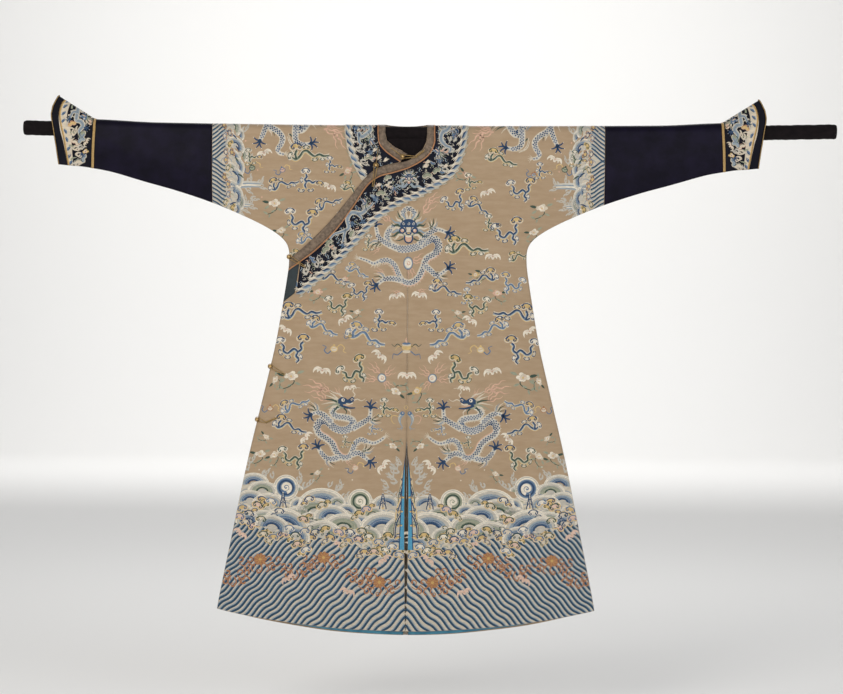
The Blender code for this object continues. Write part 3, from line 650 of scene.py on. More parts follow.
def wrist_x(z):
    return blend(WRIST_TOP, WRIST_FOOT, np.maximum(0, rod_axis(WRIST_TOP) - z) / 0.11)


def mouth_x(height):
    return np.interp(height, [h for h, _ in CUFF_MOUTH], [x for _, x in CUFF_MOUTH])


# Rows of a sleeve or cuff below the rod, and where the lower edge of a cuff ends
ARM_ROWS = 19
MOUTH_FOOT = 0.984
SLEEVE_COLUMNS = 44
CUFF_COLUMNS = 16


def arm_grids():
    """Grids of x and drop for the sleeve and the cuff on the wearer's left."""
    wrist = np.linspace(rod_axis(WRIST_TOP), arm_z(WRIST_FOOT), ARM_ROWS)
    start = SLEEVE_SEAM + SEAM / 2
    seam = np.linspace(rod_axis(start), arm_z(start), ARM_ROWS)
    seam = np.stack([np.full(ARM_ROWS, start), seam], axis=1)
    end = np.stack([wrist_x(wrist), wrist], axis=1)
    sleeve = with_cap(*patch(seam, end, rod_axis, arm_z, SLEEVE_COLUMNS))
    start = np.stack([wrist_x(wrist) + SEAM, wrist], axis=1)
    axis = rod_axis(MOUTH_FOOT)
    foot = np.linspace(axis, arm_z(MOUTH_FOOT), ARM_ROWS)
    mouth = np.stack([mouth_x(foot - axis), foot], axis=1)
    x, drop = with_cap(*patch(start, mouth, rod_axis, arm_z, CUFF_COLUMNS))
    for k in range(CAP_ROWS):
        end = MOUTH_FOOT
        for _ in range(6):
            end = mouth_x(cap_height(end) * math.cos(k / CAP_ROWS * math.pi / 2))
        x[k] = np.linspace(WRIST_TOP + SEAM, end, CUFF_COLUMNS + 1)
    return sleeve, (x, drop)


SLEEVE, CUFF = arm_grids()


def tube(name, points, radius, slot, around=8, twist=0.0):
    """Round cord along points, with two strands twisted together where twist is given."""
    points = np.array(points, float)
    along = unit(np.gradient(points, axis=0))
    across = unit(np.cross(along, (0.02, 1.0, 0.03)))
    up = np.cross(across, along)
    turn = circle(around)
    angle = turn[None, :] + twist * run_along(points)[:, None]
    strands = 0.16 if twist else 0.0
    size = radius * (1 - strands * (1 - np.cos(2 * turn)))[None, :, None]
    round_ = across[:, None] * np.cos(angle)[..., None] + up[:, None] * np.sin(angle)[..., None]
    ring = points[:, None] + size * round_
    keep(name, ring.reshape(-1, 3), ring_faces(len(points), around), slot)


def dense(points, gap):
    """The same line with points at most gap apart."""
    points = np.array(points, float)
    run = run_along(points)
    at = np.linspace(0, run[-1], max(2, int(run[-1] / gap) + 1))
    return np.stack([np.interp(at, run, points[:, k]) for k in range(points.shape[1])], axis=1)


# Distances from the wrist's line to the points across its braid, and the twist of cords in radians a metre
BRAID = (-0.0035, -0.0012, 0.0012, 0.0035)
CUFF_TWIST = 900.0
LOOP_TWIST = 1500.0


def arms():
    for hand, word in ((1, "left"), (-1, "right")):
        for side, face in ((-1, "front"), (1, "back")):
            tail = f"{word}_{face}"
            x, drop = SLEEVE
            shell(f"soft_sleeve_{tail}", side, hand * x, drop, WALL, "navy_satin")
            x, drop = CUFF
            shell(f"soft_cuff_{tail}", side, hand * x, drop, WALL, "cuff_silk")
            braid = SLEEVE[0][:, -1:] + np.array(BRAID)
            drop = np.repeat(SLEEVE[1][:, -1:], len(BRAID), 1)
            shell(f"soft_wrist_braid_{tail}", side, hand * braid, drop, BAND_WALL, "gold_braid",
                  WALL + LAID_ON)
            edge, low = hand * (CUFF[0][:, -1] - 0.002), CUFF[1][:, -1]
            level = WALL + LAID_ON + CORD_RADIUS
            points = on_cloth(side, edge, low, np.full(len(edge), level))
            points[0, 1] += side * 0.001
            tube(f"soft_cuff_cord_{tail}", dense(points, 0.0022), CORD_RADIUS, "gold_braid", twist=CUFF_TWIST)


def strip(first, second, across):
    """Grid of x and drop between two lines of x and z."""
    u = np.linspace(0, 1, across + 1)[None, :, None]
    points = first[:, None] * (1 - u) + second[:, None] * u
    return points[..., 0], rod_axis(points[..., 0]) - points[..., 1]


def as_laid(x, drop):
    return x, drop


def above_closing(x, drop):
    return x, np.minimum(drop, rod_axis(x) - closing_z(x) - 0.0015)


def lines_of(table, steps):
    """Edge, binding and rope lines of a border, with the rope's two sides."""
    table = np.array(table)
    rope_rows = 11 if len(table) > 6 else 4
    edge, bind = (spline(table[:, k:k + 2], steps) for k in (0, 2))
    band_inner = spline(table[:rope_rows, 2:4], steps)
    rope = spline(table[:rope_rows, 4:6], steps)
    square = across_line(rope, ROPE_HALF)
    square[0] = (math.copysign(ROPE_HALF, rope[0][0]), 0)
    for k in range(1, len(square)):
        if square[k] @ square[k - 1] < 0:
            square[k] *= -1
    return edge, bind, band_inner, rope, square


def border(tail, table, layer, fit):
    base = WALL + LAID_ON
    edge, bind, band_inner, rope, square = lines_of(table, 12)
    towards = unit(rope - band_inner)
    near = rope - square
    out = (near - rope) / ROPE_HALF
    band = fit(*with_cap(*strip(band_inner + towards * BAND_GAP, near + out * LAID_ON, 16)))
    shell(f"soft_band_{tail}", -1, *band, BAND_WALL, "band_silk", base, layer)
    binding = fit(*with_cap(*strip(edge, bind - (bind - edge) * 0.015, 4)))
    shell(f"soft_binding_{tail}", -1, *binding, BINDING_WALL, "binding_silk", base, layer)
    roped = fit(*with_cap(*strip(near, rope + square, 4)))
    shell(f"soft_rope_border_{tail}", -1, *roped, ROPE_WALL, "rope_border", base, layer)
    line = bind + unit(bind - edge) * (PIPING_RADIUS + LAID_ON)
    x, drop = fit(*with_cap(*strip(line, line, 1)))
    x, drop = x[:, 0], drop[:, 0]
    moved = np.concatenate([[True], np.hypot(np.diff(x), np.diff(drop)) > 1e-5])
    x, drop = x[moved], drop[moved]
    points = on_cloth(-1, x, drop, base + PIPING_RADIUS + layer(x, drop))
    tube(f"soft_piping_{tail}", points, PIPING_RADIUS, "piping")


def back_rope_z(x):
    """Height of the rope border's line behind the neck."""
    across = np.minimum(1, np.abs(x - NECK_CENTRE) / BACK_BAND_HALF)
    return -BACK_BAND_SHOULDER - BACK_BAND_DEPTH * (1 - across**2.6)


def back_route():
    x = NECK_CENTRE + BACK_BAND_HALF * np.linspace(-1, 1, 97)
    return np.stack([x, back_rope_z(x)], axis=1)


def back_border():
    base = WALL + LAID_ON
    route = back_route()
    square = across_line(route, ROPE_HALF)
    square[0], square[-1] = (ROPE_HALF, 0), (-ROPE_HALF, 0)
    if square[len(square) // 2][1] < 0:
        square[1:-1] *= -1
    inner, outer = route + square, route - square
    x, drop = strip(inner, outer, 4)
    over = (np.arange(CAP_ROWS) / CAP_ROWS - 1)[:, None]
    x = np.vstack([np.repeat(x[:1], CAP_ROWS, 0), x, np.repeat(x[-1:], CAP_ROWS, 0)])
    drop = np.vstack([np.repeat(over, 5, 1), drop, np.repeat(over[::-1], 5, 1)])
    shell("soft_rope_border_back", 1, x, drop, ROPE_WALL, "rope_border", base)
    xs = np.linspace(inner[0][0] + LAID_ON, inner[-1][0] - LAID_ON, 49)
    depth = -np.interp(xs, inner[:, 0], inner[:, 1]) - LAID_ON
    below = np.linspace(0, 1, 15)[:, None] * depth[None, :]
    x, drop = with_cap(np.repeat(xs[None], 15, 0), below, back_neck_angle)
    shell("soft_band_back", 1, x, drop, BAND_WALL, "band_silk", base)
    xs = np.linspace(INNER_CLOSING[0][2], CLOSING[0][2], 41)[None]
    on_band = base + BAND_WALL + SEAM
    x, drop = (grid[:8] for grid in with_cap(xs, np.zeros(xs.shape), back_neck_angle))
    shell("soft_binding_back", 1, x, drop, BINDING_WALL, "binding_silk", on_band)
    below = (PIPING_RADIUS + LAID_ON) / (WRAP * math.pi / 2)
    points = on_cloth(1, x[-1], drop[-1] + below, np.full(xs.size, on_band + PIPING_RADIUS))
    tube("soft_piping_back", points, PIPING_RADIUS, "piping")


def borders():
    border("outer", CLOSING, outer_layer, as_laid)
    border("inner", INNER_CLOSING, under_layer, above_closing)
    back_border()
    table = np.array(SIDE_FACING)
    front = spline(table[:, :2], 8)
    side = spline(table[:, 2:], 8)[:, 0]
    side = np.stack([-edge_x(side) + LAID_ON, side], axis=1)
    shell("soft_side_facing", -1, *strip(front, side, 8), BAND_WALL, "facing", WALL + LAID_ON, outer_layer)


def linings():
    base = -LINING_SINK - LINING_WALL
    for word, side, hand, slit, hem in (
        ("front_left", -1, 1, front_slit, front_hem), ("front_overlap", -1, -1, front_slit, front_hem),
        ("back_left", 1, 1, back_slit, back_hem), ("back_right", 1, -1, back_slit, back_hem),
    ):
        rise = np.linspace(1, 0, 7) * LINING_HEIGHT + 0.001
        centre = np.stack([hand * (slit(hem(0) + rise) + LAID_ON), hem(0) + rise], axis=1)
        corner = hem(HEM_CORNER_X) + rise
        outer = np.stack([hand * (edge_x(corner) - LINING_SIDE_GAP), corner], axis=1)
        x, drop = patch(centre, outer, hem, hem, 50)
        layer = outer_layer if side < 0 else one_layer
        shell(f"soft_hem_lining_{word}", side, x, drop, LINING_WALL, "lining", base, layer)
    for word, hand in (("left", 1), ("overlap", -1)):
        z = np.linspace(FRONT_SLIT_TOP + 0.03, FRONT_HEM + LINING_HEIGHT + 0.002, 60)
        inner = hand * (front_slit(z) + LAID_ON)
        u = np.linspace(0, 1, 4)[None, :]
        x = inner[:, None] * (1 - u) + hand * SLIT_FACING_WIDTH * u
        drop = rod_axis(x) - z[:, None]
        shell(f"soft_slit_facing_{word}", -1, x, drop, LINING_WALL, "lining", base, outer_layer)


# Gilt buttons: ball, start and via points of the loop, end of the stem (x, z, height over the cloth)
BUTTONS = (
   
    ("neck", (-0.016, -0.0655, 0.0106), ((0.0445, -0.0475, 0.0068), (0.020, -0.066, 0.0068)),
     (-0.050, -0.0405, 0.0049)),
    ("collar", (-0.091, -0.0905, 0.0090), ((-0.099, -0.1505, 0.0083),), (-0.085, -0.0390, 0.0048)),
    ("underarm", (-0.331, -0.347, 0.0106), ((-0.286, -0.376, 0.0083),), None),
    ("side_upper", (-0.3835, -0.655, 0.0096), ((-0.341, -0.679, 0.0062),), None),
    ("side_lower", (-0.419, -0.804, 0.0089), ((-0.364, -0.799, 0.0053), (-0.394, -0.812, 0.0053)), None),
)
LOOP_TURN = (140, 120, 95, 70, 50, 25, 0, -25, -50, -70, -95, -120, -140)


def lathe(name, centre, axis, profile, slot, around=24):
    """A turned piece: profile is rows of radius, height along the axis and whether it is lobed."""
    across = unit(np.cross(axis, (0.3, 0.2, 0.93)))
    other = np.cross(axis, across)
    turn = circle(around)
    round_ = np.cos(turn)[:, None] * across + np.sin(turn)[:, None] * other
    lobes = 0.02 * np.cos(8 * turn)[:, None]
    points = [centre + axis * h + round_ * r * (1 + lobed * lobes) for r, h, lobed in profile]
    keep(name, np.vstack(points), ring_faces(len(profile), around), slot)


def over_cloth(p, level):
    """Point at a height over the cloth in front."""
    x = np.array([p[0]])
    return on_cloth(-1, x, drop_at(x, p[1]), np.array([level]))[0]


def button(name, ball, loop, stem):
    """Ball, the loop of cord round it, and a stem where one shows."""
    x, z, out = ball
    middle = np.array((x, z))
    centre = over_cloth(middle, out)
    level = loop[-1][2]
    route = [np.array(p[:2]) for p in loop]
    towards = unit(middle - route[-1])
    square = np.array((-towards[1], towards[0]))
    bight = BUTTON_RADIUS + LOOP_RADIUS + SEAM
    foot = over_cloth(middle, level)
    normal = unit(centre - foot)
    ahead = np.array((towards[0], 0, towards[1]))
    ahead = unit(ahead - normal * (ahead @ normal))
    aside = np.cross(normal, ahead)
    turns = np.radians(LOOP_TURN)
    ring = [foot + bight * (ahead * math.cos(t) + aside * math.sin(t)) for t in turns]
    if (ring[0] - foot)[0] * square[0] + (ring[0] - foot)[2] * square[1] < 0:
        ring.reverse()
    apart = (LOOP_RADIUS + SEAM) * square
    ways = []
    for shift in (apart, -apart):
        line = dense([q + shift for q in route], 0.004) if len(route) > 1 else [route[0] + shift]
        ways.append([over_cloth(p, level) for p in line])
    points = spline(np.array([*ways[0], *ring, *ways[1][::-1]]), 3)
    tube(f"soft_loop_{name}", dense(points, 0.0014), LOOP_RADIUS, "gold_cord", twist=LOOP_TWIST)
    angles = np.linspace(0.12, math.pi - 0.12, 15)
    profile = [(BUTTON_RADIUS * math.sin(t), -BUTTON_RADIUS * math.cos(t), 0.6 < t < 2.2) for t in angles]
    lathe(f"soft_button_{name}", centre, normal, profile, "gilt")
    if stem:
        start = np.array(stem[:2])
        away = middle - start
        end = start + away * (1 - (bight + LOOP_RADIUS + 2 * SEAM) / np.hypot(*away))
        heights = (stem[2], level - 0.0005)
        points = [over_cloth(blend(start, end, t), blend(*heights, t)) for t in np.linspace(0, 1, 24)]
        tube(f"soft_stem_{name}", points, LOOP_RADIUS, "gold_cord", twist=LOOP_TWIST)


def rod():
    """The rod's black cover, drawn tight with slight wrinkles."""
    around = 40
    xs = np.unique(np.concatenate([np.linspace(*ROD_ENDS, 420), [-0.0001]]))
    xs = np.clip(xs, *ROD_ENDS)
    lead = 0.02
    axis = rod_axis(np.clip(xs, ROD_ENDS[0] + lead, ROD_ENDS[1] - lead))
    turn = circle(around)
    covered = (np.abs(xs) < 1.0)[:, None]
    at = xs[:, None]
    wrinkle = 0.00035 * np.sin(at * 260 + 2.2 * np.sin(turn[None] * 2) + 3 * np.sin(at * 31))
    wrinkle += 0.0003 * np.sin(at * 93 + turn[None] * 3)
    radius = ROD_RADIUS - 0.0004 + np.where(covered, 0, wrinkle)
    end = np.minimum(xs - ROD_ENDS[0], ROD_ENDS[1] - xs)
    radius = radius - 0.002 * (1 - smooth(end / 0.004))[:, None]
    height = axis[:, None] + radius * np.cos(turn)
    points = np.stack([np.repeat(at, around, 1), radius * np.sin(turn), height], axis=-1)
    keep("soft_rod", points.reshape(-1, 3), ring_faces(len(xs), around), "rod_cover")


def rod_drape():
    """Fold of the cover that hangs inside the neck, in upright folds."""
    rows, columns = 33, 97
    half, top, foot = 0.075, -0.013, -0.128
    u, v = np.meshgrid(np.linspace(-1, 1, columns), np.linspace(0, 1, rows))
    top_y = -math.sqrt((ROD_RADIUS + SEAM) ** 2 - top**2)
    grown = smooth(3 * v)
    wave = 0.0012 * np.cos(u * math.pi * 4 + 0.4 * np.sin(3 * v)) + 0.0003 * np.cos(u * math.pi * 11)
    x = NECK_CENTRE + u * half
    y = top_y + 0.0014 * grown - wave * grown * 0.9
    z = blend(top, foot, v)
    walls = [np.stack([x, at_y, z], axis=-1).reshape(-1, 3) for at_y in (y - BAND_WALL, y)]
    keep("soft_rod_drape", np.vstack(walls), slab_faces(rows, columns), "rod_cover")


body()
arms()
borders()
linings()
for row in BUTTONS:
    button(*row)
rod()
rod_drape()


# Woven motifs, drawn in the plane of the front view in steps of one pixel of it
PIXEL = 0.0028
ARC = WRAP * math.pi / 2
# The view's column and row at the middle of the neck, its lean and tilt, and the height of that row
MIDDLE_COLUMN = 409
NECK_ROW = 125
LEAN = 0.0075
TILT = 0.0063
TOP_ROW = 125.2
TOP_HEIGHT = 0.023


def spot(px, py):
    """Place on the robe of a pixel of the front view."""
    px, py = np.asarray(px, float), np.asarray(py, float)
    x = (px - MIDDLE_COLUMN + (py - NECK_ROW) * LEAN) * PIXEL
    return np.stack([x, TOP_HEIGHT - (py - TILT * (px - MIDDLE_COLUMN) - TOP_ROW) * PIXEL], axis=-1)


def spots(points):
    points = np.array(points, float)
    return spot(points[:, 0], points[:, 1])


class Art:
    """Flat shapes in colours; a higher level lies over a lower one."""

    def __init__(self):
        self.points, self.levels, self.triangles, self.colours, self.count = [], [], [], [], 0

    def add(self, colour, points, triangles, level):
        self.points.append(points)
        self.levels.append(np.full(len(points), float(level)))
        self.triangles.append(np.asarray(triangles) + self.count)
        self.colours.append(np.full(len(triangles), list(SILKS).index(colour)))
        self.count += len(points)

    def fan(self, colour, outline, level):
        """A shape that can be seen whole from its first corner."""
        self.add(colour, outline, [(0, k, k + 1) for k in range(1, len(outline) - 1)], level)

    def fill(self, colour, outline, level):
        """A shape that can be seen whole from its middle."""
        middle = outline.mean(axis=0)
        count = len(outline)
        k = np.arange(count)
        triangles = np.stack([np.full(count, count), k, (k + 1) % count], axis=1)
        self.add(colour, np.vstack([outline, middle]), triangles, level)

    def ribbon(self, colour, line, width, level, shift=0.0):
        """A band along a line, with its width and its shift sideways at each point."""
        square = across_line(line)
        width, shift = (np.broadcast_to(v, len(line))[:, None] for v in (width, shift))
        points = np.hstack([line + square * (shift - width / 2), line + square * (shift + width / 2)])
        k = np.arange(len(line) - 1) * 2
        triangles = np.vstack([np.stack([k, k + 1, k + 3], 1), np.stack([k, k + 3, k + 2], 1)])
        self.add(colour, points.reshape(-1, 2), triangles, level)


class Pen:
    """Draws in a frame of its own on the robe, with +y up."""

    def __init__(self, art, at, size=1.0, angle=0.0, mirror=1, level=0):
        c, s = polar(angle)
        self.art, self.at, self.mirror, self.level = art, np.array(at, float), mirror, level
        self.matrix = PIXEL * size * np.array([[c, -s], [s, c]])

    def sub(self, x, y, size=1.0, angle=0.0, level=0, flip=1):
        child = Pen(self.art, self.matrix @ (x, y) + self.at, 1.0, angle, self.mirror, self.level + level)
        child.matrix = self.matrix @ (child.matrix / PIXEL * size) @ np.diag((flip, 1))
        return child

    @property
    def scale(self):
        return math.sqrt(abs(np.linalg.det(self.matrix)))

    def place(self, points):
        points = np.array(points, float) @ self.matrix.T + self.at
        points[:, 0] *= self.mirror
        return points

    def fill(self, colour, outline, level=0):
        self.art.fill(colour, self.place(outline), self.level + level)

    def ribbon(self, colour, line, width, level=0, steps=3, shift=0.0):
        line = self.place(spline(line, steps) if steps > 1 else line)
        width = np.asarray(drawn_out(width, len(line)) if np.ndim(width) else width) * self.scale
        turned = self.mirror * np.sign(np.linalg.det(self.matrix))
        self.art.ribbon(colour, line, width, self.level + level, shift * self.scale * turned)

    def disc(self, colour, x, y, r, level=0, squash=1.0, sides=10):
        turn = circle(sides)
        self.fill(colour, np.stack([x + r * np.cos(turn), y + r * squash * np.sin(turn)], 1), level)


def curl(x, y, r, start, turns, hand=1, points=11, inner=0.22):
    t = np.linspace(0, 1, points)
    angle = math.radians(start) + hand * 2 * math.pi * turns * t
    size = r * (1 - (1 - inner) * t)
    return np.stack([x + size * np.cos(angle), y + size * np.sin(angle)], axis=1)


def ruyi(pen, line, fill, rim, detail=True):
    """Three-lobed head of a cloud, about 9 wide."""
    lobes = ((0, 1.5, 2.7, 0.75), (-2.9, 0, 2.2, 0.8), (2.9, 0, 2.2, 0.8))
    for x, y, r, flat in lobes:
        pen.disc(rim, x, y, r + 0.7, 0, flat + 0.08)
    for x, y, r, flat in lobes:
        pen.disc(fill, x, y, r, 1, flat)
    pen.ribbon(line, [(-4.6, 0.6), (-2.6, 2.6), (0, 3.3), (2.6, 2.6), (4.6, 0.6)], 0.8, 2, 2)
    if detail:
        for hand in (-1, 1):
            pen.ribbon(line, curl(hand * 2.5, 0.0, 1.75, 90, 1.1, -hand, 10, 0.12), (0.6, 1.0, 0.7), 2, 1)


# Stems of the clouds, and their heads: x, y, size, angle
CLOUDS = (
    (
        ([(-13, -1), (-10, -3), (-6.5, -1.2), (-3.5, 2.2), (-0.5, 2.6), (2.5, -0.5), (5.5, -2.8), (9, -1.6),
          (12.5, -3.6), (17, -3.4)],
         [(-9, -2.6), (-9.8, 1), (-8, 4)]),
        ((-13.4, 0.4, 0.85, 60), (5.2, -4.6, 0.75, 185), (-8.2, 6.4, 1.25, 0), (-0.6, 4.8, 0.8, -8),
         (11.2, -5.2, 0.6, 175)),
    ),
    (
        ([(-8.6, 5), (-6.4, 2.6), (-7, -0.6), (-3.6, -2.8), (-0.6, -0.6), (2, 0.8), (4.4, -1.8), (3.2, -4.8),
          (5.4, -7.4), (3.4, -10)],
         [(4.4, -1.8), (7.6, 0.8), (6.8, 4.2), (9, 6.6)]),
        ((-9.6, 7.2, 1.1, 15), (-3.4, -5.2, 0.75, 185), (9, 9.2, 1.25, 0), (-8.6, -1.8, 0.75, 110),
         (6.4, -5.2, 0.65, -70)),
    ),
    (
        ([(0, 7.6), (0.9, 4.8), (-1, 2.4), (0.4, 0), (-0.9, -3), (0.4, -6)],
         [(0.4, 0.4), (3.6, 1.2), (6.4, -0.8), (9.4, 0.6), (11.6, -0.6)]),
        ((0, 9.8, 1.1, 0), (-4.2, -7.2, 0.95, 175), (13, -1.6, 1.0, -12), (4.6, -7, 0.85, 185),
         (-3.4, 1.8, 0.7, 95)),
    ),
)


def cloud(pen, kind, line, other):
    stems, heads = CLOUDS[kind]
    pen = pen.sub(0, 0, 1.26)
    for stem in stems:
        pen.ribbon("yellow", stem, 2.8, 0, shift=-0.6)
        pen.ribbon("cream", stem, 3.0, 0.4)
        pen.ribbon(line, stem, (0.8, 1.7, 1.1, 1.8, 1.1, 1.7, 0.8), 1, shift=0.2)
        pen.ribbon("pale_blue" if "blue" in line else "pale_green", stem, 0.6, 1.3, shift=-0.8)
    for k, (x, y, size, angle) in enumerate(heads):
        colours = (line, "cream", "yellow") if k % 2 else (line, "white", "cream")
        colours = ("dark_blue" if other else line, "yellow", "cream") if k == 2 else colours
        ruyi(pen.sub(x, y, size * 0.8, angle, 2), *colours)


# Strands of a flame and their widths
FLAMES = (
    (((0, 0), (3, 1.4), (6.4, 0.2), (9.8, 1.6), (13.4, 0.6), (18, 2.0)), (1.5, 1.4, 1.2, 0.3)),
    (((2.4, 1.2), (4.6, 4.2), (8.4, 4.0), (11.4, 6.2), (15.4, 6.4)), (1.3, 1.1, 0.3)),
    (((1.6, 0.6), (4.6, -2.4), (8.2, -2.2), (11, -4.2), (14.6, -4.0)), (1.3, 1.0, 0.3)),
)


def flames(pen):
    for strand, widths in FLAMES:
        pen.ribbon("peach", strand, widths)


def pearl(pen, tall=1.05):
    for angle, size in ((15, 0.62), (285, 0.56)):
        c, s = polar(angle)
        flames(pen.sub(2.4 * c, 2.4 * s, size, angle))
    for colour, r, level in (("slate", 3.4, 1), ("pale_blue", 3.0, 1.5), ("white", 2.5, 2)):
        pen.disc(colour, 0, 0, r, level, tall, 16)
    pen.ribbon("peach", curl(0, -0.2, 1.6, 100, 1.0, -1), (0.5, 0.9), 3, 1)


WING = ((0, 0.2), (2.2, 1.3), (4.4, 1.9), (6.2, 0.9), (7.2, -0.9), (7.4, -2.8))


def bat(pen, colour="white"):
    for hand in (-1, 1):
        wing = [(hand * x, y) for x, y in WING]
        pen.ribbon(colour, wing, (1.8, 3.2, 3.0, 2.2, 1.2, 0.3), 1, 3)
        rib = [(hand * 3.0, 1.0), (hand * 3.8, -0.8), (hand * 3.8, -2.0)]
        pen.ribbon(colour, rib, (2.4, 1.4, 0.2), 1, 2)
        pen.ribbon("blush", [(0, 0.7), (hand * 2.4, 1.7), (hand * 4.8, 2.2)], (0.7, 0.5, 0.2), 2, 2)
        pen.ribbon(colour, [(0, 0.5), (hand * 1.0, 2.0), (hand * 1.6, 3.2)], (1.4, 0.9, 0.3), 1, 2)
    pen.disc(colour, 0, -0.4, 1.7, 1, 1.25, 8)
    pen.disc("peach", 0, 0.3, 0.8, 2, sides=6)


def leaf(pen, colour, x, y, angle, size=1.0):
    child = pen.sub(x, y, size, angle)
    child.fill(colour, [(0, 0), (1.2, 0.8), (2.6, 0.7), (4, 0), (2.6, -0.6), (1.2, -0.6)], 0)


# Leaves of a flower: x, y, angle, size
FLOWER_LEAVES = (
    (2, -4, -20, 1.1), (1, -5, 200, 1.0), (-3, -7.5, 250, 0.9), (-4.5, -8, 150, 1.1), (3.5, 1.5, 20, 1.3),
    (-3.5, 0.5, 170, 1.4), (-3.6, -1.6, 215, 1.2),
)


def flower(pen, colour, middle="yellow", petals=7, stem=True):
    pen = pen.sub(0, 0, 1.25)
    if stem:
        pen.ribbon("dark_green", [(0, 0), (2, -3.5), (-1, -6.5), (-5, -8)], (0.7, 0.5), 0)
        for x, y, angle, size in FLOWER_LEAVES:
            leaf(pen, "dark_green" if size > 1.3 else "pale_green", x, y, angle, size)
    for k in range(petals):
        turn = 2 * math.pi * k / petals + 0.35 * math.sin(2.6 * k)
        far = 2.3 + 0.8 * math.sin(1.9 * k + 1)
        r = 1.5 + 0.5 * math.sin(3.1 * k)
        pen.disc(colour, far * math.cos(turn), far * math.sin(turn) * 0.85, r, 1, 0.85, sides=7)
    pen.disc("cream" if colour != "cream" else "white", -0.3, 0.2, 2.1, 2, sides=8)
    for k in range(3):
        fold = curl(-0.9 + k, 0.4 * (k % 2), 1.2, 40 + 90 * k, 0.5, 1, 6, 0.5)
        pen.ribbon("blush", fold, (0.5, 0.2), 2.5, 1)
    pen.disc(middle, 0.1, -0.2, 0.7, 3, sides=6)


def emblem(pen, colour, other):
    """Small auspicious object with two ribbons."""
    pen.ribbon("yellow", [(2, 1), (5, 3.5), (8, 1), (7, -1.5), (9.5, -3)], (0.8, 0.9, 0.4), 0)
    pen.ribbon("mid_blue", [(-2, -1), (-5, -3.5), (-7.5, -1), (-6, 1.5), (-9, 3)], (0.8, 0.9, 0.4), 0)
    pen.disc(other, 0, 0, 3.0, 1, 0.85)
    pen.disc(colour, 0, 0, 2.3, 2, 0.85)
    pen.ribbon(other, [(-2, 1.2), (0, 0.2), (2, 1.2)], 0.5, 3, 2)
    pen.disc(other, 0, 2.9, 0.9, 2, sides=6)


SCALE_PITCH = 2.8
SCALE_COLOURS = ("slate", "dark_blue", "slate")


def scaled(art, line, widths, level, mirror=1, belly=None):
    """A dragon's skin: staggered scales between pale edges, along a line on the robe."""
    line = line * (mirror, 1)
    run = run_along(line)
    width = drawn_out(widths, len(line)) * PIXEL
    art.ribbon("cream", line, width + 1.5 * PIXEL, level)
    if belly:
        start, end = (int(t * (len(line) - 1)) for t in belly)
        part = slice(start, end)
        art.ribbon("peach", line[part], 1.1 * PIXEL, level + 1, mirror * (width[part] / 2 + 0.45 * PIXEL))
    art.ribbon("scale_pale", line, width, level + 1)
    step = SCALE_PITCH * PIXEL * 0.52
    at = np.arange(step, run[-1] - step / 2, step)
    way = np.gradient(line, axis=0)
    place, along = (np.stack([np.interp(at, run, of[:, k]) for k in (0, 1)], 1) for of in (line, way))
    along = unit(along)
    square = np.stack([-along[:, 1], along[:, 0]], 1)
    wide = np.interp(at, run, width)
    half = 0.8 * SCALE_PITCH * PIXEL / 2
    corners = [[] for _ in SCALE_COLOURS]
    for k in range(len(at)):
        shift = (np.arange(-4, 5) + (k % 2) / 2) * SCALE_PITCH * PIXEL
        shift = shift[np.abs(shift) < wide[k] / 2 - half * 0.25]
        ahead, aside = along[k] * half, square[k] * half * 0.85
        for middle in place[k] + shift[:, None] * square[k]:
            third = corners[k * len(SCALE_COLOURS) // len(at)]
            third += [middle + ahead, middle + aside, middle - ahead, middle - aside]
    for colour, part in zip(SCALE_COLOURS, corners):
        k = np.arange(0, len(part), 4)
        triangles = np.vstack([np.stack([k, k + 1, k + 2], 1), np.stack([k, k + 2, k + 3], 1)])
        art.add(colour, np.array(part), triangles, level + 2)


def claw(pen, size=1.0, colour="dark_blue"):
    pen = pen.sub(0, 0, size)
    for angle, reach in ((-92, 7.2), (-42, 8.2), (-4, 8.8), (36, 8.2), (84, 7.4)):
        c, s = polar(angle)
        bend = 1.0 if angle > 0 else -1.0
        finger = [(0, 0), (reach * 0.5 * c + bend * s, reach * 0.5 * s - bend * c), (reach * c, reach * s)]
        pen.ribbon(colour, finger, (2.0, 1.7, 1.5, 0.8), 3, 3)
        pen.disc("white", (reach + 0.3) * c, (reach + 0.3) * s, 0.5, 4, sides=5)
    pen.disc(colour, 0, 0, 1.9, 3, sides=7)


# Strands of hair at a joint: angle, colour
STRANDS = (
    (0, "cream"), (11, "dark_green"), (22, "cream"), (-12, "pale_blue"), (32, "dark_green"), (42, "cream"),
    (-24, "cream"),
)


def tuft(pen):
    """Hair at a joint: pale and green strands."""
    for k, (angle, colour) in enumerate(STRANDS):
        child = pen.sub(0, 0, 1.55 - 0.09 * k, angle)
        child.ribbon(colour, [(0, 0), (3, 1), (6, 0.4), (9.5, 1.8)], (1.5, 1.1, 0.2), 2, 2)


def heading(way):
    """Angle of a step on the robe, in degrees."""
    return math.degrees(math.atan2(way[1], way[0]))


def leg(art, line, widths, mirror=1, hair=None, level=2, claw_size=1.0):
    line = spline(spots(line), 6)
    if hair is not None:
        tuft(Pen(art, line[len(line) // 2], 1, hair, mirror, level - 2))
    scaled(art, line, widths, level, mirror)
    claw(Pen(art, line[-1], 1, heading(line[-1] - line[-4]), mirror, level), claw_size)


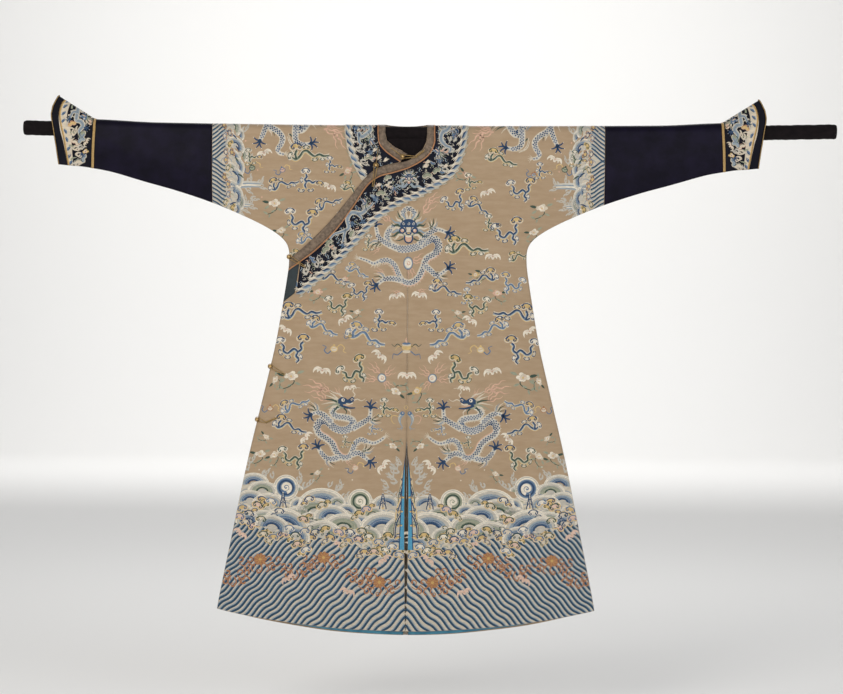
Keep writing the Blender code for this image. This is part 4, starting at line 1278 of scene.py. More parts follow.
def front_head(pen):
    """Dragon's head seen from the front."""
    for hand in (-1, 1):
        for k in range(10):
            angle = -34 + 13 * k
            c, s = polar(angle)
            colour = ("cream", "dark_green", "pale_blue")[k % 3]
            far = 14.2 + (k % 2) * 2.4
            strand = [(hand * 5 * c, 5 * s), (hand * 9 * c, 9 * s + 1.3), (hand * 12 * c, 12 * s - 0.2),
                      (hand * far * c, far * s + 1.2)]
            pen.ribbon(colour, strand, (2.2, 1.8, 1.3, 0.2), k % 2, 2)
        horn = [(hand * 2.5, 5), (hand * 4, 9), (hand * 6.5, 12), (hand * 7, 16)]
        pen.ribbon("cream", horn, (1.5, 1.2, 0.4), 2)
        pen.ribbon("pale_green", [(hand * 4, 9), (hand * 7.5, 10), (hand * 9, 13)], (1.0, 0.3), 2, 2)
        whisker = [(hand * 3.5, -4.5), (hand * 7, -4), (hand * 10, -7), (hand * 13, -6)]
        pen.ribbon("cream", whisker, (1.0, 0.8, 0.4), 3)
        pen.ribbon("dark_green", [(hand * 4, -6.5), (hand * 7, -8), (hand * 10, -8)], (1.2, 0.9, 0.2), 3, 2)
    pen.disc("pale_green", 0, 0.5, 6.4, 3, 0.95, 14)
    pen.disc("cream", 0, 0.6, 5.2, 3.5, 0.95, 14)
    turn = np.radians(np.linspace(-14, 194, 15))
    pen.fill("dark_blue", np.stack([6.6 * np.cos(turn), 3.6 + 5.2 * np.sin(turn)], 1), 5)
    pen.fill("cream", [(-3.6, 2.4), (3.6, 2.4), (3.0, -1.4), (2.0, -3.4), (-2.0, -3.4), (-3.0, -1.4)], 4)
    for x in (-3.6, 0, 3.6):
        pen.ribbon("scale_pale", curl(x, 5.0, 1.25, 90, 1.1, 1 if x < 0 else -1, 9), (0.45, 0.35), 6, 1)
    for hand in (-1, 1):
        pen.disc("dark_blue", hand * 5.0, -0.2, 2.6, 5, 1.05)
        pen.disc("peach", hand * 4.9, -0.3, 1.4, 6, sides=8)
        pen.disc("white", hand * 4.4, 0.2, 0.7, 6.5, sides=6)
        cheek = [(hand * 2.6, 3.0), (hand * 2.0, 0.6), (hand * 2.6, -1.8)]
        pen.ribbon("dark_blue", cheek, (1.0, 0.8, 1.4), 5, 2)
        jaw = [(hand * 2.8, -4.2), (hand * 3.2, -6.4), (hand * 2.2, -9), (0, -10)]
        pen.ribbon("dark_blue", jaw, (1.2, 1.1, 1.1), 5)
    pen.disc("dark_blue", 0, -2.6, 2.5, 5, 0.5, 8)
    pen.disc("yellow", 0, -2.3, 1.2, 6, 0.5, 7)
    pen.fill("peach", [(-2.4, -4.6), (2.4, -4.6), (2.6, -7), (1.6, -9), (-1.6, -9), (-2.6, -7)], 4.5)
    pen.ribbon("white", [(-2.4, -4.5), (0, -5.2), (2.4, -4.5)], 0.8, 6.5, 2)


def side_head(pen, main="dark_blue", pale="cream"):
    """Dragon's head seen from the side, facing +x."""
    mane = ((150, 13), (165, 15), (180, 15), (196, 14), (212, 12), (228, 11), (135, 12))
    for k, (angle, far) in enumerate(mane):
        c, s = polar(angle)
        colour = (pale, "dark_green", pale, "pale_green", pale, "dark_green", pale)[k]
        strand = [(-2 + 3 * c, 1 + 3 * s), (-2 + 7 * c, 1.8 + 7 * s), (-2 + far * c, 0.8 + far * s)]
        pen.ribbon(colour, strand, (1.7, 1.2, 0.2), k % 2, 2)
    pen.disc("pale_green", -1.2, 0.8, 4.4, 2, 0.95)
    pen.ribbon(pale, [(-0.5, 4.5), (-3, 7.5), (-7, 8.8), (-10, 11)], (1.3, 1.0, 0.3), 2)
    pen.ribbon(pale, [(6.5, 4), (8.5, 6.5), (7, 9), (9, 11.5), (13, 11)], (0.9, 0.8, 0.3), 2)
    pen.ribbon(pale, [(7, 2), (10, 3), (13, 1.5), (16, 3)], (0.9, 0.7, 0.3), 2)
    upper = [(-4.4, 0.6), (-4.2, 3.6), (-1.6, 5.4), (1.2, 4.4), (3.0, 2.9), (4.8, 3.2), (6.3, 5.0),
             (7.8, 4.0), (7.3, 1.5), (4.8, 0.2), (2.2, 0.8), (0, -0.4)]
    pen.fill(main, upper, 4)
    pen.ribbon(main, [(-3, 0), (-0.5, -1.8), (3.5, -3.2), (8, -3.4)], (2.2, 1.5, 0.8), 4)
    pen.ribbon("peach", [(-0.5, -0.6), (3, -1.3), (6.2, -1.4)], (1.1, 0.5), 4, 2)
    pen.ribbon("white", [(1.5, 0.1), (4, -0.5), (6.4, 0.4)], 0.7, 4.5, 2)
    pen.disc("white", -0.6, 3.0, 1.3, 5, sides=8)
    pen.disc(main, -0.4, 3.0, 0.6, 6, sides=6)
    pen.ribbon(pale, curl(5.9, 2.7, 1.1, 0, 0.9), (0.5, 0.4), 5, 1)
    pen.ribbon("dark_green", [(-0.5, -3), (1.5, -5.5), (0.5, -8)], (1.3, 0.3), 3, 2)
    pen.ribbon(pale, [(2.5, -4), (4.5, -6), (4, -8.5)], (1.3, 0.3), 3, 2)


def tail_tuft(pen):
    for angle in (-50, -25, 0, 25, 50):
        pen.sub(0, 0, 1, angle).ribbon("cream", [(0, 0), (2.5, 0.4), (5.2, -0.3)], (0.9, 0.2), 1, 2)


def spines(art, line, start, end, mirror, side):
    """Small pale points along a dragon's back."""
    count = int(len(line) * (end - start) / 2)
    for k in range(count):
        i = int(start * len(line)) + 2 * k
        angle = heading(line[i + 1] - line[i]) + side * 62
        Pen(art, line[i], 1, angle, mirror, 1).ribbon("cream", [(0, 0), (5.6, 0)], (1.8, 0.3), 0, 1)


# Laying flat art on the cloth: longest edge of a motif, lift of the art and of each level, smallest face,
# rounds of cutting, and how much finer they cut over the rod
FACET = 0.0075
TRIM_FACET = 0.005
LIFT = 0.00016
LEVEL_LIFT = 0.00005
SLIVER = 2e-9
ROUNDS = 14
OVER_ROD = 2.2


def refined(points, levels, triangles, colours, limit):
    """Cuts the longest edges until every one is short, shorter over the rod."""
    for _ in range(ROUNDS):
        drop = drop_at(points[:, 0], points[:, 1])
        flat = np.stack([points[:, 0], np.where(drop < 0, drop * ARC * OVER_ROD, drop)], axis=1)
        corners = flat[triangles]
        lengths = np.linalg.norm(corners - np.roll(corners, -1, axis=1), axis=2)
        longest = lengths.argmax(axis=1)
        long = lengths.max(axis=1) > limit
        if not long.any():
            break
        cut, turn = triangles[long], longest[long]
        rows = np.arange(len(cut))
        a, b, c = (cut[rows, (turn + k) % 3] for k in range(3))
        middle = len(points) + rows
        points = np.vstack([points, (points[a] + points[b]) / 2])
        levels = np.concatenate([levels, levels[a]])
        halves = np.vstack([np.stack([a, middle, c], 1), np.stack([middle, b, c], 1)])
        triangles = np.vstack([triangles[~long], halves])
        colours = np.concatenate([colours[~long], colours[long], colours[long]])
    return points, levels, triangles, colours


def lay(name, art, side, base, layer, clip, slot, limit=FACET):
    """Lays art on a face of the cloth, cut to where clip says that the face is."""
    points, triangles = np.vstack(art.points), np.vstack(art.triangles)
    levels, colours = np.concatenate(art.levels), np.concatenate(art.colours)
    near = clip(*points.T)[2][triangles].any(axis=1)
    reach = np.ptp(points[triangles], axis=1).max(axis=1) > limit
    taken = near | reach
    points, levels, triangles, colours = refined(points, levels, triangles[taken], colours[taken], limit)
    x, z, inside = clip(*points.T)
    kept = inside[triangles].any(axis=1)
    ax, bx, cx = x[triangles].T
    az, bz, cz = z[triangles].T
    area = (bx - ax) * (cz - az) - (cx - ax) * (bz - az)
    kept &= np.abs(area) > SLIVER
    triangles = np.where((area * side > 0)[:, None], triangles[:, ::-1], triangles)[kept]
    colours = colours[kept]
    used, triangles = np.unique(triangles, return_inverse=True)
    triangles = triangles.reshape(-1, 3)
    x, z, levels = x[used], z[used], levels[used]
    drop = drop_at(x, z)
    points = on_cloth(side, x, drop, base + layer(x, drop) + LIFT + levels * LEVEL_LIFT)
    keep(name, points, triangles, slot, colours)


# Room left between motifs and the cloth's sides, hems, other edges and the crest of the rod
SIDE_ROOM = 0.0008
HEM_ROOM = 0.0006
EDGE_ROOM = 0.0005
CREST_ROOM = 0.0001


def inside_body(x, z):
    """Keeps points off the sides and the sleeve's seam."""
    room = side_x(z) - SIDE_ROOM
    inside = (np.abs(x) <= room) & (z - rod_axis(x) <= cap_height(x) - CREST_ROOM)
    x = np.clip(x, -room, room)
    return x, np.minimum(z, rod_axis(x) + cap_height(x) - CREST_ROOM), inside


def clip_outer(x, z):
    x, top, inside = inside_body(x, z)
    left = front_left_x(z) + HEM_ROOM
    inside &= (x > left) | ((x < -front_slit(z) - EDGE_ROOM) & (z < closing_z(x) - EDGE_ROOM))
    right = x < (left - front_slit(z)) / 2
    right &= z < -0.06
    x = np.where(right, np.minimum(x, -front_slit(z) - EDGE_ROOM), np.maximum(x, left))
    top = np.where(right, np.minimum(top, closing_z(x) - EDGE_ROOM), top)
    hem = front_hem(x) + HEM_ROOM
    return x, np.maximum(top, hem), inside & (z > hem)


def clip_inner(x, z):
    x, top, inside = inside_body(x, z)
    edge = underlap_x(z) - 0.001
    low = closing_z(x) + EDGE_ROOM
    inside &= (x < edge) & (z > low)
    return np.minimum(x, edge), np.maximum(top, low), inside


def clip_back(x, z):
    x, top, inside = inside_body(x, z)
    edge = back_slit(z) + EDGE_ROOM
    hem = back_hem(x) + HEM_ROOM
    inside &= z > hem
    x = np.where(np.abs(x) < edge, np.copysign(edge, x), x)
    low = back_rope_z(x) + (np.abs(x - NECK_CENTRE) >= BACK_BAND_HALF)
    return x, np.maximum(top, hem), inside & (z < low)


def clip_cuff(x, z):
    reach = np.abs(x)
    height = z - rod_axis(reach)
    near, far = wrist_x(z) + 0.0045, mouth_x(height) - 0.001
    inside = (reach > near) & (reach < far) & (z > arm_z(reach)) & (height < cap_height(reach) - CREST_ROOM)
    reach = np.clip(reach, near, far)
    z = np.clip(z, arm_z(reach) + HEM_ROOM, rod_axis(reach) + cap_height(reach) - CREST_ROOM)
    return np.copysign(reach, x), z, inside


# The large dragons
CENTRE_BODY = (
    (395.5, 225.6), (390, 229.5), (387.2, 236.2), (389.4, 243), (396, 247.4), (404.3, 249.2),
    (418.6, 246.3), (428.5, 240.4), (434.5, 239), (438.2, 243), (438.4, 249), (434, 254.3), (426.5, 259),
    (423, 268.6), (417.7, 278.5), (409.6, 282.8), (402, 280), (397.6, 272), (394.5, 265), (388.2, 260.2),
    (380.2, 261), (373.9, 263.4), (367, 260.5), (358.5, 257.6),
)
SIDE_BODY = (
    (340, 404.6), (332.6, 410.4), (335.3, 415.9), (343.3, 417.3), (350.2, 419), (353.1, 423.4),
    (348.5, 429), (341, 430.5), (333.6, 427.5), (327.3, 421.8), (320.8, 421), (316.9, 427), (319.2, 433.6),
    (326.7, 438.4), (332.4, 443.6), (335.9, 451.1), (341.7, 456.9), (348.7, 456.6), (352.3, 450.6),
    (354.8, 443.5), (360.5, 439.6), (367.4, 441.9), (373.8, 443.2), (380.6, 440.2), (384.9, 436.8),
)
BODY_WIDTHS = (4.6, 5.8, 6.2, 6.3, 6.3, 6.1, 5.8, 5.1, 4.1, 3.1, 1.7)
LEG_WIDTHS = (6.0, 5.0, 4.2, 3.2, 2.4)


def at(art, px, py, size=1.0, angle=0.0, level=0, mirror=1):
    """A pen at a pixel of the front view."""
    return Pen(art, spot(px, py), size, angle, mirror, level)


def middle_pen(art, mirror, level=0):
    """A pen at the middle of the robe, at the row where the rows' heights start."""
    return Pen(art, (0, TOP_HEIGHT + TOP_ROW * PIXEL), 1, 0, mirror, level)


def centre_dragon(art):
    line = spline(spots(CENTRE_BODY), 7)
    spines(art, line, 0.06, 0.93, 1, 1)
    scaled(art, line, BODY_WIDTHS, 2, belly=(0.45, 0.8))
    legs = (
        (((392, 246), (384, 241.5), (378.5, 236.5), (375.8, 225.5)), 200),
        (((419, 245.5), (426, 236), (437, 229.6), (447.5, 232.6)), 60),
        (((424, 265), (431, 270.5), (437.5, 275.5), (448, 268.4)), -30),
        (((402, 280), (392, 278.5), (384, 279.4), (376.8, 284.6)), 150),
    )
    for points, hair in legs:
        leg(art, points, LEG_WIDTHS, hair=hair, level=4)
    tail_tuft(at(art, 358.5, 257.6, 1.0, 170, 3))
    # Loop of the body that shows above the head
    loop = [(403, 218), (403.4, 212), (408.7, 208.4), (414.2, 212), (414.8, 218)]
    scaled(art, spline(spots(loop), 7), (3.2, 4.0, 3.2), 1)
    front_head(at(art, 408.7, 230.2, 1.28, 0, 5))
    pearl(at(art, 408.3, 263.2, 1.45, 0, 3), 1.35)
    scatter(flames, art, (
        (391, 221, 0.85, 138), (424, 214, 1.05, 52), (428, 203, 0.9, 25), (380, 248, 0.6, 200),
        (434, 281, 0.7, -60),
        (384, 272, 0.6, 165), (400, 291, 0.6, 200), (418, 290, 0.6, -25), (391, 262, 0.6, 170),
        (420, 272, 0.6, 10),
    ), 1)


def side_dragon(art, mirror):
    line = spline(spots(SIDE_BODY), 7)
    spines(art, line, 0.04, 0.9, mirror, -1)
    scaled(art, line, BODY_WIDTHS, 2, mirror, belly=(0.48, 0.72))
    legs = (
        (((331.8, 423), (323.5, 415), (316.5, 412.4), (311, 414.6)), 120),
        (((352, 428.5), (363, 422.5), (369.3, 417.5), (370.6, 408)), -20),
        (((339, 457.5), (328, 459), (321, 452.6), (318.2, 447.4)), -60),
        (((350, 454.5), (358.3, 453), (364, 456.8), (369, 461.4)), 20),
    )
    for points, hair in legs:
        leg(art, points, LEG_WIDTHS, mirror, hair, 4)
    tail_tuft(at(art, 384.9, 436.8, 1.0, 25, 3, mirror))
    side_head(at(art, 344, 404, 1.35, 4, 5, mirror))
    blaze = ((327, 400, 1.0, 141), (340, 396, 0.6, 118), (334, 460, 0.6, 200), (345, 461, 0.5, -30))
    scatter(flames, art, blaze, 0, mirror)


# Hair of the dragons at the shoulders: column, row, angle, length, colour
SHOULDER_HAIR = (
    (313, 122, -28, 11, "dark_green"), (316, 120, -34, 12, "cream"), (309, 123, -40, 10, "cream"),
    (319, 119, -38, 10, "dark_green"), (272, 129, -70, 8, "dark_green"), (269, 130, -62, 7, "cream"),
    (259, 118, -100, 9, "cream"), (290, 134, -60, 9, "dark_green"), (262, 120, -60, 8, "cream"),
    (286, 121, -50, 8, "pale_blue"),
)


def shoulder_dragon(art, mirror):
    """Dragon of which only the lower part shows below the fold at the shoulder."""
    low = 0 if mirror > 0 else 3.2

    def down(points):
        return [(x, y + low) for x, y in points]

    fore = [(268, 114), (266.4, 126), (263.4, 134), (260.4, 140.6)]
    leg(art, down(fore), (5.4, 4.8, 3.8, 2.6), mirror, claw_size=0.95)
    tail = [(262, 110), (266, 120), (270.6, 127), (278.4, 131.8), (282.8, 138), (281.2, 144.6), (278, 149.2),
            (280, 153.2), (284.6, 154.4)]
    scaled(art, spline(spots(down(tail)), 6), (5.6, 5.4, 5.2, 5.0, 4.6, 3.8, 3.0, 1.8), 1, mirror)
    tail_tuft(at(art, 284.8, 154.4 + low, 1.0, 5, 2, mirror))
    coil = [(290, 108), (292.6, 118), (296.6, 126), (301, 130), (306, 126), (311, 116)]
    scaled(art, spline(spots(down(coil)), 6), (6.0, 6.2, 6.4, 6.0, 5.6), 1, mirror)
    hind = [(296.4, 124), (295.6, 133), (296.6, 141), (303, 144.6), (311, 143.6)]
    leg(art, down(hind), (6.0, 5.4, 4.6, 3.6, 2.6), mirror, claw_size=0.95)
    edge = middle_pen(art, mirror, 1)
    edges = ([(289, 134), (290.4, 141), (295, 146.6), (302, 147.4)], [(287.6, 137), (291, 145), (299, 149)])
    for points in edges:
        line = np.array(down(points)) - (MIDDLE_COLUMN, 0)
        edge.ribbon("cream", line * (1, -1), (0.5, 1.2, 0.6))
    for px, py, angle, reach, colour in SHOULDER_HAIR:
        pen = at(art, px, py + low, 1, angle, 1, mirror)
        pen.ribbon(colour, [(0, 0), (reach * 0.5, 0.9), (reach, 0)], (1.5, 1.2, 0.2))
    blaze = ((324, 130, 1.2, -8), (334, 131, 1.2, -62), (327, 127, 1.0, 12))
    scatter(flames, art, [(px, py + low * 0.5, size, angle) for px, py, size, angle in blaze], 0, mirror)


# Small motifs: column, row, size, angle, then shape or colours, and whether the other half has the same
CLOUD_SPOTS = (
    (308, 154, 1.0, 8, 0, "dark_green", 0), (283, 184, 0.75, 20, 0, "dark_blue", 0),
    (306, 182, 0.85, 0, 2, "dark_blue", 0), (328, 203, 0.7, 30, 0, "dark_blue", 0),
    (300, 222, 0.95, -10, 1, "dark_blue", 0), (310, 239, 0.7, 10, 0, "mid_blue", 0),
    (250, 158, 0.6, 10, 2, "dark_green", 0), (330, 166, 0.6, 0, 2, "dark_blue", 0),
    (352, 190, 0.6, -20, 0, "dark_green", 0), (341, 222, 0.7, 0, 2, "dark_blue", 0),
    (368.6, 243.6, 0.6, 0, 2, "dark_green", 0), (357, 271, 0.6, -15, 0, "mid_blue", 0),
    (360, 292, 0.7, 0, 1, "dark_blue", 0), (501, 159, 0.8, -8, 0, "dark_green", 0),
    (521, 191, 0.85, 0, 1, "dark_blue", 0), (540, 172, 0.6, 0, 2, "dark_blue", 0),
    (478.6, 207, 0.7, -20, 0, "dark_blue", 0), (508, 233.5, 0.95, 10, 1, "dark_blue", 0),
    (489, 224, 0.6, 0, 2, "dark_green", 0), (466, 247.5, 1.05, 5, 0, "dark_green", 0),
    (455, 203, 0.75, 20, 1, "dark_blue", 0), (445, 289, 0.8, -5, 0, "dark_blue", 0),
    (467, 297, 0.6, 0, 2, "mid_blue", 0), (470, 183, 0.6, 10, 2, "dark_green", 0),
    (575, 160, 0.6, 0, 2, "dark_green", 0), (520, 256, 0.6, 20, 0, "dark_green", 0),
    (300, 258, 0.6, -20, 0, "dark_green", 0), (292, 350, 1.0, 0, 1, "dark_blue", 1),
    (365, 336, 1.0, -12, 0, "mid_blue", 1), (354, 373, 0.95, 25, 1, "dark_green", 1),
    (294, 405, 0.75, 30, 0, "mid_blue", 1), (289, 426, 0.85, -8, 0, "dark_blue", 1),
    (384, 409, 0.7, 0, 2, "dark_green", 1), (293, 458, 0.9, 0, 1, "dark_green", 1),
    (372, 429, 0.5, 0, 2, "mid_blue", 1), (345, 442.5, 0.45, 0, 2, "dark_green", 1),
    (300, 312, 1.0, 12, 0, "dark_blue", 1), (338, 306, 0.8, 0, 1, "dark_green", 1),
    (379, 322, 0.8, 0, 2, "dark_blue", 1), (322, 327, 0.8, -15, 0, "mid_blue", 1),
    (303, 284, 0.75, 10, 1, "mid_blue", 1), (333, 277, 0.8, -5, 0, "dark_blue", 1),
)
BAT_SPOTS = (
    (396.7, 296.3, 1.0, 10, 0), (419.5, 295.4, 1.0, -10, 0), (264.5, 153.5, 1.0, 20, 0),
    (329, 187, 1.0, -20, 0), (555, 160, 1.0, -20, 0), (487.7, 193, 1.0, 20, 0), (493, 257, 1.0, 0, 0),
    (318, 262, 1.0, 10, 0), (322, 371, 1.15, -10, 1), (379.5, 356, 1.1, -40, 1), (407, 376, 1.2, 0, 0),
    (306, 438, 1.0, 50, 1), (383.5, 466.6, 1.1, 50, 1), (345, 320, 1.0, 30, 1), (285, 330, 1.0, -30, 1),
    (350, 388, 0.8, 10, 1),
)
FLOWER_SPOTS = (
    (274.5, 203, 1.1, 0, "white", 0), (348, 171, 0.9, 40, "peach", 0), (467, 175, 0.9, -40, "peach", 0),
    (542, 208, 1.1, 0, "cream", 0), (291, 376, 1.3, 0, "white", 1), (275, 380, 0.8, 60, "cream", 1),
    (260, 454, 1.0, 0, "white", 1), (274, 455, 0.9, 30, "cream", 1), (266, 437, 0.7, -40, "cream", 1),
    (396, 391.5, 1.0, 150, "white", 0), (417, 391, 1.0, 30, "yellow", 0), (268, 300, 1.0, 20, "white", 1),
    (327, 243, 0.8, 0, "peach", 0), (485, 272, 0.9, 0, "cream", 0), (393, 446, 0.8, 150, "white", 1),
    (318, 292, 0.9, 0, "peach", 1), (357, 312, 0.7, 0, "cream", 1), (281, 230, 0.9, 10, "cream", 0),
    (534, 232, 0.9, 10, "white", 0), (317, 473, 0.7, 20, "cream", 1), (475.7, 274.8, 0.7, 0, "yellow", 0),
    (344.5, 279.3, 0.7, 20, "peach", 0),
)
EMBLEM_SPOTS = (
    (282.8, 170, 1.0, 20, "peach", "mid_blue", 0), (534, 175, 1.0, -20, "pale_blue", "rust", 0),
    (270, 408.6, 1.1, 0, "cream", "rust", 1), (334, 349, 1.3, 0, "cream", "yellow", 1),
    (355, 468, 1.1, 20, "cream", "peach", 1), (276, 268, 1.0, 0, "peach", "mid_blue", 1),
    (350, 336, 0.8, 0, "yellow", "dark_green", 0),
)


def scatter(draw, art, rows, level, mirror=1, *values):
    """Draws a motif at each row of column, row of the view, size, angle and what else it takes."""
    for px, py, size, angle, *more in rows:
        draw(at(art, px, py, size, angle, level, mirror), *more, *values)


def small_motifs(art):
    for draw, table in ((cloud, CLOUD_SPOTS), (bat, BAT_SPOTS), (flower, FLOWER_SPOTS),
                        (emblem, EMBLEM_SPOTS)):
        for k, (*row, both) in enumerate(table):
            if draw is cloud:
                row.append(k % 3 == 0)
            for mirror in (1, -1) if both else (1,):
                scatter(draw, art, [row], 0, mirror)
    for mirror in (1, -1):
        pearl(at(art, 381.8, 378, 1.3, 20, 1, mirror))
        blaze = ((380, 373, 0.85, 132), (377, 379, 0.8, 172), (325, 388, 1.25, 168), (330, 391, 0.8, 150))
        scatter(flames, art, blaze, 0, mirror)


def middle_emblems(art):
    """Vase above and twin fish on the seam."""
    pen = at(art, 406.5, 347, 1, 0, 1)
    pen.fill("yellow", [(-5, 1), (5, 1), (4, -2), (2, -3.4), (-2, -3.4), (-4, -2)], 0)
    pen.disc("cream", 0, -4.6, 4.2, 0, 0.4)
    pen.disc("mid_blue", 0, 3.4, 4.2, 1, 0.3)
    pen.disc("cream", 0, 2, 4.6, 0, 0.35)
    pen.ribbon("peach", [(0, 4), (-0.6, 7), (0.2, 9.5)], (2.0, 1.4, 0.4), 1)
    fish = at(art, 406, 418, 1, 0, 1)
    for hand in (-1, 1):
        upper = [(hand * 5, 0), (hand * 9, 3), (hand * 12, 0.5), (hand * 15, 3)]
        pen.ribbon("dark_green", upper, (0.9, 0.8, 0.4))
        lower = [(hand * 4, -4), (hand * 9, -8), (hand * 13, -7), (hand * 14, -12)]
        pen.ribbon("mid_blue", lower, (1.0, 1.0, 0.4))
        pen.ribbon("yellow", [(hand * 5, 1.5), (hand * 9, 0), (hand * 11, -3)], (0.7, 0.4), 0)
        back = [(hand * 3.5, 4.5), (hand * 6.4, 0), (hand * 5.8, -5), (hand * 3.4, -9)]
        fish.ribbon("pale_blue", back, (4.6, 3.6, 1.6, 0.6), 0)
        fish.ribbon("cream", [(hand * 4.4, 4), (hand * 7.2, 0), (hand * 6.4, -5)], (1.0, 0.8, 0.3), 1)
        fish.disc("mid_blue", hand * 3.6, 4.6, 2.3, 2, 0.9)
        fish.disc("cream", hand * 3.2, 4.9, 0.7, 3, sides=6)
        fish.ribbon("pale_blue", [(hand * 3.4, -9), (hand * 6, -11), (hand * 9, -10.5)], (1.0, 0.3), 0, 2)
        fish.ribbon("pale_blue", [(hand * 3.4, -9), (hand * 4.5, -12.5)], (1.0, 0.3), 0, 2)
        streamer = [(hand * 7, 1), (hand * 12, 2.5), (hand * 15, 0), (hand * 13, -5), (hand * 10, -6)]
        fish.ribbon("peach" if hand > 0 else "yellow", streamer, (0.7, 0.9, 0.4), 0)
        fish.ribbon("yellow", [(0, 8), (hand * 2, 10.5), (0, 12.5)], (0.6, 0.5), 0, 2)


# Waves, rocks and slanting stripes above the hem and at the sleeves
BLUES = ("white", "foam", "pale_blue", "mid_blue", "dark_blue")
GREENS = ("white", "foam", "pale_green", "pale_green", "dark_green")
ARCHES = (
    (253.6, 484, 13, 0, 0, "blue"), (262, 491.5, 12.5, 0, 1, "green"), (250, 501, 12.5, 0, 2, "blue"),
    (268, 505, 14, 0, 3, "blue"), (321.5, 505, 20, 0, 0, "blue"), (315, 512.5, 17, 0, 1, "green"),
    (331, 517.5, 15, 0, 2, "blue"), (343, 528, 17, 0, 3, "green"), (386, 505, 12, 0, 0, "blue"),
    (381, 529, 20, 12, 3, "blue"), (287, 527, 21, -25, 4, "blue"), (300, 518, 13, -20, 1, "green"),
    (322, 534, 16, 0, 4, "green"), (242, 513, 10, 0, 1, "green"), (399, 529, 14, 25, 4, "green"),
    (359, 524, 11, 0, 2, "blue"), (300, 505, 9, 0, 0, "blue"), (346, 512, 9, 0, 1, "blue"),
    (267, 522, 12, 0, 4, "green"), (248, 522, 11, 0, 4, "blue"), (396, 545, 12, 0, 4, "blue"),
    (309, 527, 9, 10, 2, "blue"), (262, 513, 9, -10, 1, "green"), (272, 528, 15, -15, 5, "blue"),
    (262, 521, 13, 10, 4, "green"), (312, 523, 13, 0, 2, "green"), (296, 536, 12, -20, 5, "blue"),
    (337, 503, 7, 0, 0, "green"), (372, 515, 10, 10, 1, "green"), (294, 492, 8, 20, 0, "green"),
    (368, 536, 11, -10, 4, "green"), (326, 531, 8, 0, 4, "blue"), (276, 494, 7, 10, 0, "blue"),
    (354, 538, 10, 10, 4, "blue"), (237, 512, 8, 0, 3, "blue"),
)
HEAD_SPOTS = (
    (262, 500.5), (257.5, 506), (270.6, 502), (248.8, 514.5), (260.9, 520), (239, 517.5), (279, 512),
    (263, 535), (273, 538), (282.7, 535), (294.8, 536), (304.5, 532), (311, 538.5), (297, 545),
    (305.8, 550.5), (315, 533), (325, 529.5), (338.5, 533), (349.4, 533), (361.5, 532), (348, 541.5),
    (358, 540), (368.5, 537.6), (378.5, 543), (364, 553), (373.6, 552.5), (391.8, 547.5), (399, 538),
    (359, 514), (366, 510), (309, 500), (322, 506), (242, 509), (254, 526), (385, 551), (399, 556),
    (330, 538), (303, 520), (289, 529), (245, 523), (388, 536),
)
BOUNDARY = (
    (-192, 521), (-170, 521), (-158, 526), (-146, 534), (-130, 537), (-116, 545), (-104, 549), (-92, 536),
    (-72, 533), (-60, 541), (-46, 553), (-34, 553), (-22, 548), (-8, 556), (0, 556),
)


def arch(pen, r, colours, spread=100):
    """Bands of one wave, palest outside, round a dark core."""
    pen = pen.sub(0, 0)
    pen.matrix = pen.matrix @ np.diag((1.2, 0.84))
    edges = (1.0, 0.85, 0.70, 0.57, 0.40)
    turn = np.radians(np.linspace(90 - spread, 90 + spread, 19))
    ring = np.stack([np.cos(turn), np.sin(turn)], axis=1)
    for far, near, colour in zip(edges, edges[1:], colours):
        pen.ribbon(colour, ring * r * (far + near) / 2, (far - near) * r + 0.12, 0, 1)
    pen.ribbon(colours[4], ring[1:-1] * r * 0.36, r * 0.13, 0, 1)
    pen.disc("foam", 0, -r * 0.05, r * 0.26, 0, sides=12)
    for k, far in enumerate((0.93, 0.78, 0.64, 0.49)):
        part = ring[2 + k % 2:-2 - (k + 1) % 2]
        pen.ribbon("foam" if k % 2 else "pale_blue", part * r * far, 0.22, 0.6, 1)


def hooks(pen, count=4, step=3.3, colour="foam"):
    """Spray: tapering curled fingers along a thin curved arm."""
    reach = count * step
    arm = np.array([(-1.5, -1.4), (reach * 0.3, -0.5), (reach * 0.65, 0.9), (reach * 0.95, 3.4)])
    pen.ribbon(colour, arm, (2.0, 1.5, 1.1, 0.3), 0)
    for k in range(count):
        share = (k + 0.15) / count
        x, y = (np.interp(share, np.linspace(0, 1, 4), arm[:, i]) for i in (0, 1))
        size = (1.25, 0.85, 1.1, 0.7)[k % 4] * (1.1 - 0.25 * share)
        lean = (0.5, 1.1, 0.2, 0.8)[(k * 3 + count) % 4]
        finger = [(x, y), (x + lean * 0.3, y + 2.4 * size)]
        finger += [(x + lean + 1.3 * size, y + 3.8 * size), (x + lean + 2.4 * size, y + 3.9 * size)]
        pen.ribbon(colour, finger, (1.8 * size, 1.7 * size, 1.3 * size, 0.3), 0, 3)


def spiral(pen, r, colours):
    dark, middle = colours
    pen.disc("white", 0, 0, r * 0.98, 0.5, sides=30)
    pen.ribbon("foam", curl(0, 0, r * 0.88, 0, 1.0, 1, 30, 1.0), r * 0.07, 0.8, 1)
    pen.disc("pale_blue" if "blue" in dark else "pale_green", 0, 0, r * 0.74, 1, sides=28)
    pen.disc(middle, 0, 0, r * 0.69, 1.5, sides=28)
    pen.disc(dark, 0, 0, r * 0.60, 2, sides=28)
    pen.disc(middle, 0, 0, r * 0.46, 2.2, sides=24)
    pen.ribbon("white", curl(0, 0, r * 0.40, -80, 1.7, 1, 30, 0.06), (r * 0.24, r * 0.17, r * 0.08), 3, 1)
    pen.ribbon("foam", curl(0, 0, r * 0.47, -80, 0.8, 1, 20, 0.7), r * 0.06, 2.6, 1)


